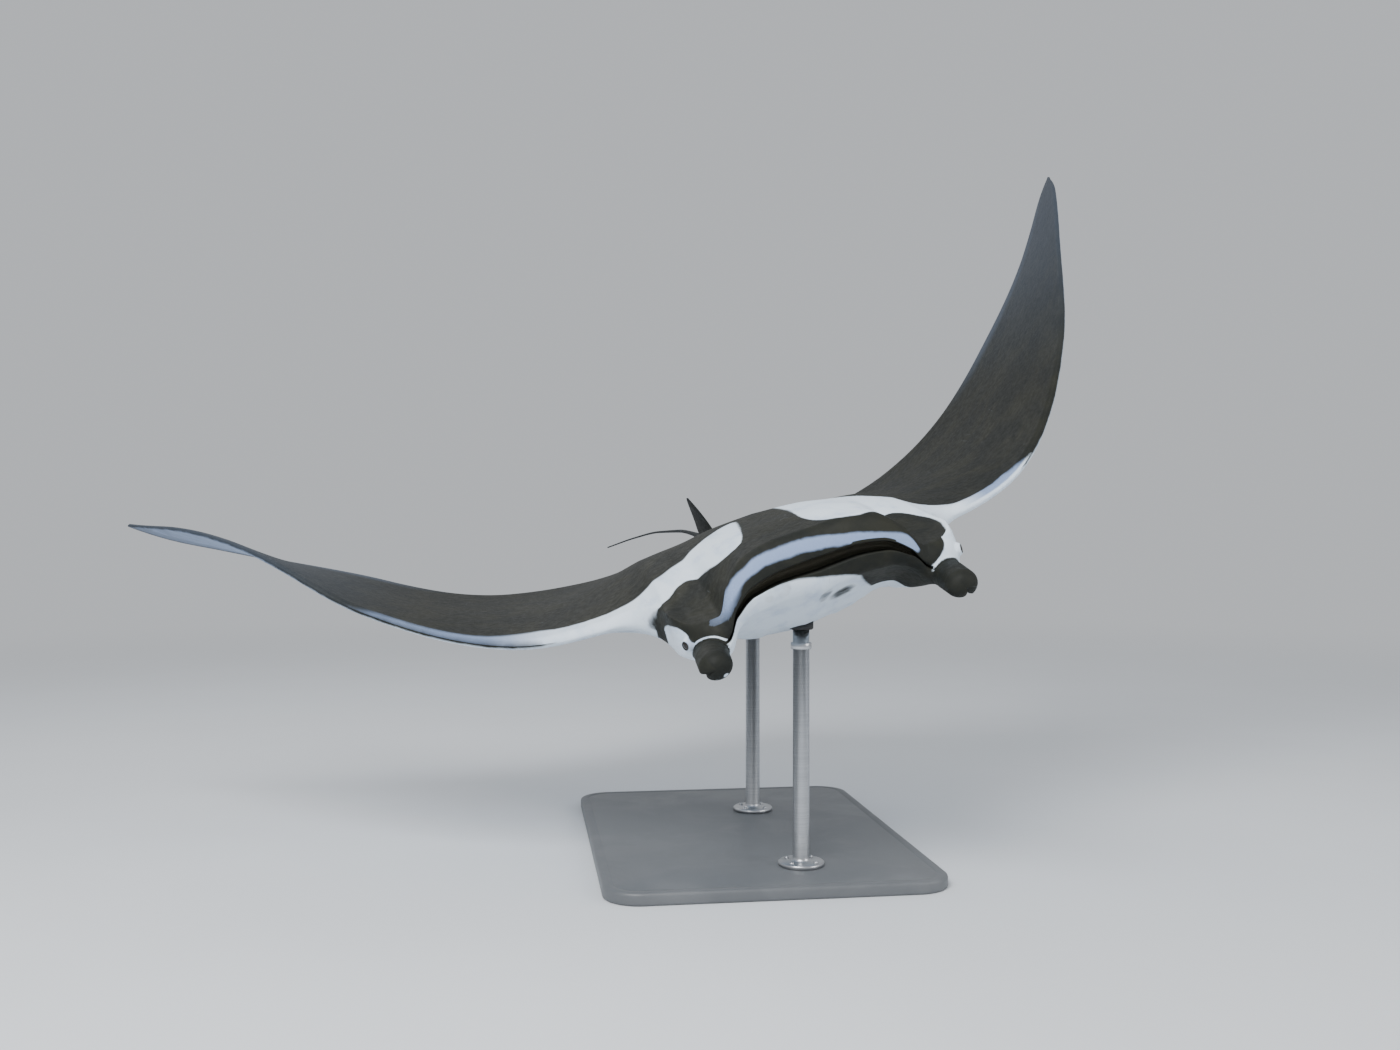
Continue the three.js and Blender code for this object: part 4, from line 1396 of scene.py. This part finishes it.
@dataclass(frozen=True)
class RaySkin:
    """Smooth, faintly rough ray skin: charcoal and white, with mottling, scratches, fine grain and painted
    shade.
    """

    charcoal: Tone = (0.0105, 0.0120, 0.0105)
    warm_charcoal: Tone = (0.0200, 0.0205, 0.0150)
    slate: Tone = (0.052, 0.066, 0.090)
    white: Tone = (0.70, 0.79, 0.88)
    grey_white: Tone = (0.52, 0.62, 0.76)
    # The lip band's blue-grey, which also serves as painted shade on the outer wings' pale skin.
    lip_and_shade_blue: Tone = (0.215, 0.290, 0.455)
    # deep is painted shade for the mouth, the gill slits and the fold of each cephalic fin; lining is the
    # mouth's own lining colour.
    deep: Tone = (0.0085, 0.0088, 0.0068)
    lining: Tone = (0.105, 0.100, 0.076)
    scratch: Tone = (0.16, 0.18, 0.20)

    def material(self) -> Material:
        """Builds the material from the skin's point values.

        Returns:
            The skin's material.
        """
        n = Nodes("ray skin")
        flat = n.attribute("flat", "Vector")
        # The pale marks: their depth wanders a little, and their edge is a step as wide as their softness.
        ragged = n.noise(flat, 24.0, 4.0, 0.55, 0.3)
        soft = n.attribute("soft")
        reach = n.maths("MULTIPLY_ADD", n.maths("MINIMUM", soft, 0.006), 1.3, 0.0030)
        wander = n.maths("MULTIPLY", n.maths("SUBTRACT", ragged, 0.5), reach)
        depth = n.maths("ADD", n.attribute("pale"), wander)
        pale = n.between(depth, n.maths("MULTIPLY", soft, -1.0), soft)
        # Dark skin: mottled charcoal, greyed towards the wing tips.
        mottle = n.noise(flat, 7.0, 6.0, 0.6, 0.8)
        cloud = n.noise(n.scaled(flat, (1.0, 0.35, 1.0)), 18.0, 4.0, 0.55)
        dark = n.mix(n.between(mottle, 0.35, 0.7), self.charcoal, self.warm_charcoal)
        dusk = n.maths("MULTIPLY", n.attribute("dusk"), n.between(cloud, 0.2, 0.75, 0.90, 1.0))
        dark = n.mix(dusk, dark, self.slate)
        # Pale skin: clouded white, and blue-grey on the lip, speckled near the band's lower end; the same
        # blue-grey on the outer wings is painted shade.
        light = n.mix(n.between(cloud, 0.45, 0.8), self.white, self.grey_white)
        across = n.split(flat)[0]
        near_end = n.between(across, -0.24, -0.31, 0.05, 0.30)
        near_end = n.maths("MULTIPLY", near_end, n.between(across, -0.42, -0.38))
        fleck = n.noise(flat, 160.0, 3.0, 0.7)
        speckle = n.maths("MULTIPLY", n.between(fleck, 0.50, 0.68), near_end)
        lip = n.mix(speckle, self.lip_and_shade_blue, self.grey_white)
        colour = n.mix(pale, dark, n.mix(n.attribute("tint"), light, lip))
        # Thin scratches along the edges of long cells, in patches.
        stroke = n.cells(n.scaled(flat, (1.0, 0.16, 1.0)), 9.0, "DISTANCE_TO_EDGE")
        stroke = n.between(n.maths("ADD", stroke, n.maths("MULTIPLY", ragged, 0.02)), 0.0125, 0.0105)
        thin = n.maths("MULTIPLY", stroke, n.between(n.noise(flat, 5.0, 2.0), 0.60, 0.68, 0.0, 0.5))
        colour = n.mix(thin, colour, self.scratch)
        # Painted shade: folds, gill slits and the mouth are darkened towards deep; past 1, deep in the mouth,
        # the lining colour shows.
        hollow = n.attribute("hollow")
        colour = n.mix(n.between(hollow, 0.05, 0.75), colour, self.deep)
        colour = n.mix(n.between(hollow, 1.05, 1.9), colour, self.lining)
        rough = n.between(n.noise(flat, 55.0, 4.0, 0.6), 0.3, 0.75, 0.55, 0.70)
        folds = n.noise(n.scaled(flat, (1.0, 0.22, 1.0)), 46.0, 4.0, 0.6, 0.5)
        normal = n.bump(folds, 0.0020, 0.5)
        normal = n.bump(ragged, 0.0025, 0.35, normal)
        normal = n.bump(n.cells(flat, 520.0), 0.0005, 0.45, normal)
        return n.finish(colour, rough, Normal=normal, Specular_IOR_Level=0.16)


@dataclass(frozen=True)
class RayEye:
    """A wet dark eye: brown iris with a broad black pupil, under a clear glossy coat."""

    pupil: Tone = (0.003, 0.003, 0.004)
    iris: Tone = (0.009, 0.0065, 0.0045)
    iris_light: Tone = (0.026, 0.019, 0.012)
    white: Tone = (0.022, 0.023, 0.024)

    def material(self) -> Material:
        """Builds the material from each point's angle off the gaze, in degrees.

        Returns:
            The eye's material.
        """
        n = Nodes("ray eye")
        gaze = n.attribute("gaze", "Vector")
        along, up, _ = n.split(gaze)
        squares = n.maths("POWER", along, 2.0), n.maths("POWER", n.maths("MULTIPLY", up, 1.35), 2.0)
        off = n.maths("SQRT", n.maths("ADD", *squares))
        fibres = n.noise(n.scaled(gaze, (0.35, 0.35, 1.0)), 1.0, 4.0, 0.65, 1.2)
        iris = n.mix(n.between(fibres, 0.4, 0.7), self.iris, self.iris_light)
        colour = n.mix(n.between(off, 21.0, 23.5), self.pupil, iris)
        colour = n.mix(n.between(off, 36.0, 39.0), colour, self.pupil)
        colour = n.mix(n.between(off, 42.0, 46.0), colour, self.white)
        coat = {"Coat_Weight": 0.25, "Coat_Roughness": 0.05, "Specular_IOR_Level": 0.35}
        rough = n.between(fibres, 0.3, 0.8, 0.20, 0.30)
        return n.finish(colour, rough, Normal=n.bump(fibres, 0.0004, 0.3), **coat)


@dataclass(frozen=True)
class StandPaint:
    """Fine-textured satin powder coat."""

    tone: Tone = (0.105, 0.112, 0.120)
    worn: Tone = (0.150, 0.157, 0.165)

    def material(self) -> Material:
        """Builds the paint: orange-peel bump, fine speckle and slight rubbing."""
        n = Nodes("stand paint")
        place = n.place()
        peel = n.noise(place, 420.0, 2.0)
        rub = n.noise(place, 3.5, 5.0, 0.6, 0.6)
        speck = n.noise(place, 900.0, 2.0)
        colour = n.mix(n.between(rub, 0.42, 0.72, 0.0, 0.6), self.tone, self.worn)
        colour = n.mix(n.between(speck, 0.55, 0.75, 0.0, 0.25), colour, self.worn)
        return n.finish(colour, n.between(rub, 0.3, 0.7, 0.38, 0.52), Normal=n.bump(peel, 0.0004, 0.35))


@dataclass(frozen=True)
class PostSteel:
    """Brushed stainless steel, with marks running round the post."""

    tone: Tone = (0.55, 0.56, 0.57)
    dull: Tone = (0.42, 0.43, 0.45)

    def material(self) -> Material:
        """Builds the steel: fine rings of brush marks in colour, roughness and bump."""
        n = Nodes("post steel")
        place = n.place()
        brush = n.noise(n.scaled(place, (6.0, 6.0, 900.0)), 1.0, 3.0, 0.6)
        smear = n.noise(place, 9.0, 4.0)
        colour = n.mix(n.between(brush, 0.3, 0.7), self.tone, self.dull)
        rough = n.maths("ADD", n.between(brush, 0.3, 0.7, 0.24, 0.34), n.maths("MULTIPLY", smear, 0.08))
        return n.finish(colour, rough, Normal=n.bump(brush, 0.0002, 0.3), Metallic=1.0)


@dataclass(frozen=True)
class SaddleRubber:
    """Soft black rubber."""

    tone: Tone = (0.018, 0.018, 0.019)
    dusty: Tone = (0.045, 0.045, 0.046)

    def material(self) -> Material:
        """Builds the rubber: a fine matt grain with a little dust."""
        n = Nodes("saddle rubber")
        place = n.place()
        grain = n.noise(place, 300.0, 3.0)
        dust = n.noise(place, 14.0, 4.0)
        colour = n.mix(n.between(dust, 0.5, 0.8, 0.0, 0.7), self.tone, self.dusty)
        return n.finish(colour, n.between(grain, 0.3, 0.7, 0.62, 0.78), Normal=n.bump(grain, 0.0005, 0.4))


# ---- stand ----------------------------------------------------------------------------------
@dataclass
class Stand:
    """The display stand: a low plate with a rounded rim, and two steel posts with feet and rubber saddles."""

    skin: Skin
    width: float = 1.10
    length: float = 1.50
    thick: float = 0.040
    corner: float = 0.120
    radius: float = 0.030
    reach: float = 0.060
    foot: float = 0.075
    foot_thick: float = 0.014
    gap: float = 0.0003
    post_y: dict[str, float] = field(default_factory=lambda: {"front": 0.430, "rear": 1.250})
    # The plate's profile from under its middle round the rim: how far each ring is drawn in, and its height.
    plate_inset: Row = (
        0.30, 0.010, 0.0045, 0.0012, 0.0, 0.0, 0.0015, 0.0052, 0.010, 0.030, 0.032, 0.036, 0.038, 0.30,
    )
    plate_height: Row = (
        0.0, 0.0, 0.0008, 0.0040, 0.0090, 0.0300, 0.0358, 0.0392, 0.040, 0.040, 0.0388, 0.0388, 0.040,
        0.040,
    )
    corner_part: tuple[float, float] = (0.18, 0.82)  # where in a quarter turn a corner begins and ends
    screw_count: int = 4
    screw_ring: float = 0.056
    # A screw head's profile: radius, and height over the foot.
    screw: Pairs = (
        (0.001, -0.001), (0.0075, -0.001), (0.0078, 0.001), (0.0070, 0.0042), (0.0052, 0.0056),
        (0.0036, 0.0058), (0.0034, 0.0030), (0.0005, 0.0028),
    )

    def plate(self) -> Surface:
        """The base: rings of a rounded rectangle, drawn in by the rim's profile and closed at the middle."""
        turn = circle(256)
        rings = []
        for draw, z in zip(self.plate_inset, self.plate_height):
            half_x, half_y = self.width / 2 - draw, self.length / 2 - draw
            x, y = self.rounded_rectangle(turn, half_x, half_y, max(self.corner - draw, 0.004))
            rings.append(np.stack([x, y, np.full_like(x, z)], -1))
        return tube(np.stack(rings))

    def rounded_rectangle(
        self, turn: Array, half_x: float, half_y: float, corner: float
    ) -> tuple[Array, Array]:
        """Points round a rounded rectangle: a quarter circle at each corner, joined by straight sides.

        Args:
            turn: places round it, from 0 to a full turn.
            half_x: half width.
            half_y: half length.
            corner: corner radius.

        Returns:
            x and y.
        """
        quarter = turn / (math.pi / 2)
        which = np.floor(quarter).astype(int) % 4
        part = quarter - np.floor(quarter)
        first, last = self.corner_part
        lean = math.pi / 2 * smoothstep(part, first, last) + which * math.pi / 2
        # Each corner's two signs, then the ways in which the sides before and after it run.
        corners = np.array(
            [[1, -1, -1, 1], [1, 1, -1, -1], [0, 1, 0, -1], [-1, 0, 1, 0], [-1, 0, 1, 0], [0, -1, 0, 1]]
        )
        sign_x, sign_y, along_x, along_y, leave_x, leave_y = corners[:, which]
        x = sign_x * (half_x - corner) + corner * np.cos(lean)
        y = sign_y * (half_y - corner) + corner * np.sin(lean)
        start, end = smoothstep(part, first, 0.0) * 0.5, smoothstep(part, last, 1.0) * 0.5
        run_x, run_y = 2 * (half_x - corner), 2 * (half_y - corner)
        x = x + along_x * start * run_x + leave_x * end * run_x
        y = y + along_y * start * run_y + leave_y * end * run_y
        return x, y

    @staticmethod
    def turned(x: float, y: float, profile: Pairs, around: int = 72) -> Surface:
        """A shape turned about an upright axis from (radius, height) pairs."""
        turn, pairs = circle(around), np.asarray(profile)[..., None, None]
        ring = np.stack([np.cos(turn), np.sin(turn), 0 * turn], -1)
        return tube(np.array([x, y, 0.0]) + pairs[:, 0] * ring + pairs[:, 1] * np.array([0, 0, 1.0]))

    def post_profile(self, bottom: float, top: float) -> Pairs:
        """Radius and height up a post: bevelled foot plate, weld fillet, tube, and a collar near the top."""
        foot, high, steel, collar = self.foot, self.foot_thick, self.radius - 0.003, top - 0.165
        wide, rim = self.radius + 0.002, self.radius + 0.004
        return [
            (0.02, bottom), (foot - 0.002, bottom), (foot, bottom + 0.002), (foot, bottom + high - 0.003),
            (foot - 0.003, bottom + high), (steel + 0.010, bottom + high),
            (steel + 0.004, bottom + high + 0.003), (steel + 0.001, bottom + high + 0.009),
            (steel, bottom + high + 0.014), (steel, collar), (wide, collar + 0.001), (rim, collar + 0.003),
            (rim, collar + 0.021), (wide, collar + 0.023), (steel, collar + 0.024), (steel, top), (0.01, top),
        ]

    def build(self, skin_piece: Piece) -> list[Piece]:
        """Makes the plate and both posts, whose saddles are cut to the belly.

        Args:
            skin_piece: the finished skin, cut from the saddles and posts.

        Returns:
            The stand's pieces.
        """
        body, swim = self.skin.body, self.skin.swim
        plate = self.plate().to_object("stand_plate")
        plate.data.materials.append(StandPaint().material())
        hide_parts("stand_base")
        made = [plate]
        steel, rubber = PostSteel().material(), SaddleRubber().material()
        bottom = self.thick + self.gap
        for name, y in self.post_y.items():
            *at, belly = swim.row(np.array([[0.0, y, -body.belly]]), body)[0]
            profile = self.post_profile(bottom, belly + self.reach)
            post = self.turned(*at, profile).to_object(f"stand_post_{name}")
            post.data.materials.append(steel)
            saddle = self.turned(*at, self.saddle_profile(belly)).to_object(f"stand_saddle_{name}")
            saddle.data.materials.append(rubber)
            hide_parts(f"stand_rod_{name}")
            for piece in (post, saddle):
                cutter = bpy.data.objects.new("cutter", skin_piece.data.copy())
                bpy.context.scene.collection.objects.link(cutter)
                combine(piece, [cutter], Join.CUT)
            screws = self.screws(*at, bottom + self.foot_thick, f"stand_screws_{name}", steel)
            made += [post, saddle, screws]
        for piece in made:
            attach(piece, "root")
        return made

    def saddle_profile(self, belly: float) -> Pairs:
        """Radius and height up a rubber sleeve round the top of a post, open in the middle for the post."""
        inner, outer = self.radius - 0.0028, self.radius + 0.010
        low, high = belly - 0.040, belly + self.reach
        return [(inner, low), (outer - 0.004, low), (outer, low + 0.004), (outer, high), (inner, high)]

    def screws(self, x: float, y: float, z: float, name: str, steel: Material) -> Piece:
        """Four round-headed screws in a post's foot, as one mesh of turned heads with a sunk middle."""
        ways = math.pi / 4 + circle(self.screw_count)
        profile = [(radius, z + height) for radius, height in self.screw]
        reach = self.screw_ring
        heads = [self.turned(x + reach * math.cos(w), y + reach * math.sin(w), profile, 24) for w in ways]
        made = Surface(
            np.concatenate([head.points for head in heads]),
            np.concatenate([head.quads + k * len(head.points) for k, head in enumerate(heads)]),
            np.concatenate([head.tris + k * len(head.points) for k, head in enumerate(heads)]),
        ).to_object(name)
        made.data.materials.append(steel)
        return made


# ---- studio ---------------------------------------------------------------------------------
@dataclass
class Studio:
    """A pale floor that runs out into an even pale surround, three soft lights and the camera."""

    floor_radii: Row = (0.5, 2, 4, 8, 16, 32, 60)
    floor_fade: tuple[float, float] = (3.5, 12.0)  # how far out the floor fades into the surround
    floor_tone: Tone = (0.66, 0.685, 0.715)
    floor_light: Tone = (0.70, 0.725, 0.755)
    surround: Tone = (0.80, 0.83, 0.87)
    surround_strength: float = 0.70
    camera_place: Triple = (-0.816, -4.600, 1.145)
    camera_yaw: float = -8.19
    camera_lens: float = 33.17
    lamp_size: float = 3.0
    # The lamps: name, place, the point that they face, and power in watts.
    lamps: tuple[tuple, ...] = (
        ("key", (-2.5, -4.5, 5.0), (0, 0, 1.2), 520),
        ("fill", (5.0, -3.5, 3.0), (0, 0, 1.2), 120),
        ("back", (-3.0, 4.5, 6.0), (0, 0.4, 1.2), 90),
    )

    def floor(self) -> Piece:
        """A round floor: rings of growing radius, whose colour fades into the surround far out."""
        turn = circle(96)
        ring = np.stack([np.cos(turn), np.sin(turn), 0 * turn], -1)
        rings = np.array(self.floor_radii)[:, None, None] * ring
        count, around = rings.shape[:2]
        points = np.concatenate([rings.reshape(-1, 3), [[0.0, 0, 0]]])
        floor = Surface(points, ring_quads(count, around), fan(count * around, 0, around)).to_object("floor")
        n = Nodes("floor")
        place = n.place()
        far = n.add("VectorMath", {0: place}, operation="LENGTH").outputs["Value"]
        n.finish(n.mix(n.noise(place, 1.4, 4.0), self.floor_tone, self.floor_light), 0.75)
        glow = n.add("Emission", {0: self.surround, 1: self.surround_strength}).outputs[0]
        shaders = {0: n.between(far, *self.floor_fade), 1: n.shader.outputs[0], 2: glow}
        output = next(node for node in n.tree.nodes if node.type == "OUTPUT_MATERIAL")
        n.put(output.inputs["Surface"], n.add("MixShader", shaders).outputs[0])
        floor.data.materials.append(n.material)
        return floor

    def light(self, name: str, place: Triple, target: Triple, power: float) -> None:
        """A square area light turned to face a target."""
        lamp = bpy.data.lights.new(name, "AREA")
        lamp.shape, lamp.size, lamp.energy = "SQUARE", self.lamp_size, power
        made = bpy.data.objects.new(name, lamp)
        made.location = place
        made.rotation_euler = (Vector(target) - Vector(place)).to_track_quat("-Z", "Y").to_euler()
        bpy.context.scene.collection.objects.link(made)

    def build(self) -> None:
        """Lays the floor, lights the room and sets the camera."""
        self.floor()
        world = bpy.data.worlds.new("surround")
        world.use_nodes = True
        sky = world.node_tree.nodes["Background"]
        sky.inputs[0].default_value = (*self.surround, 1)
        sky.inputs[1].default_value = self.surround_strength
        bpy.context.scene.world = world
        for lamp in self.lamps:
            self.light(*lamp)
        camera = bpy.data.cameras.new("camera")
        camera.sensor_width = 36.0
        camera.lens = self.camera_lens
        made = bpy.data.objects.new("camera", camera)
        made.location = self.camera_place
        made.rotation_euler = (math.radians(90), 0, math.radians(self.camera_yaw))
        bpy.context.scene.collection.objects.link(made)
        bpy.context.scene.camera = made
        bpy.context.scene.view_settings.view_transform = "AgX"


def main() -> None:
    """Builds the skin, the eyes, the stand and the studio, in that order."""
    logging.basicConfig(level=logging.INFO, format="%(name)s %(message)s")
    skin = Skin()
    eyes = Eyes(skin)
    piece = skin.build(eyes)
    LOG.info("%s: %d points, %d faces", piece.name, len(piece.data.vertices), len(piece.data.polygons))
    for made in [*eyes.build(), *Stand(skin).build(piece)]:
        LOG.info("%s: %d faces", made.name, len(made.data.polygons))
    Studio().build()


if __name__ == "__main__":
    main()
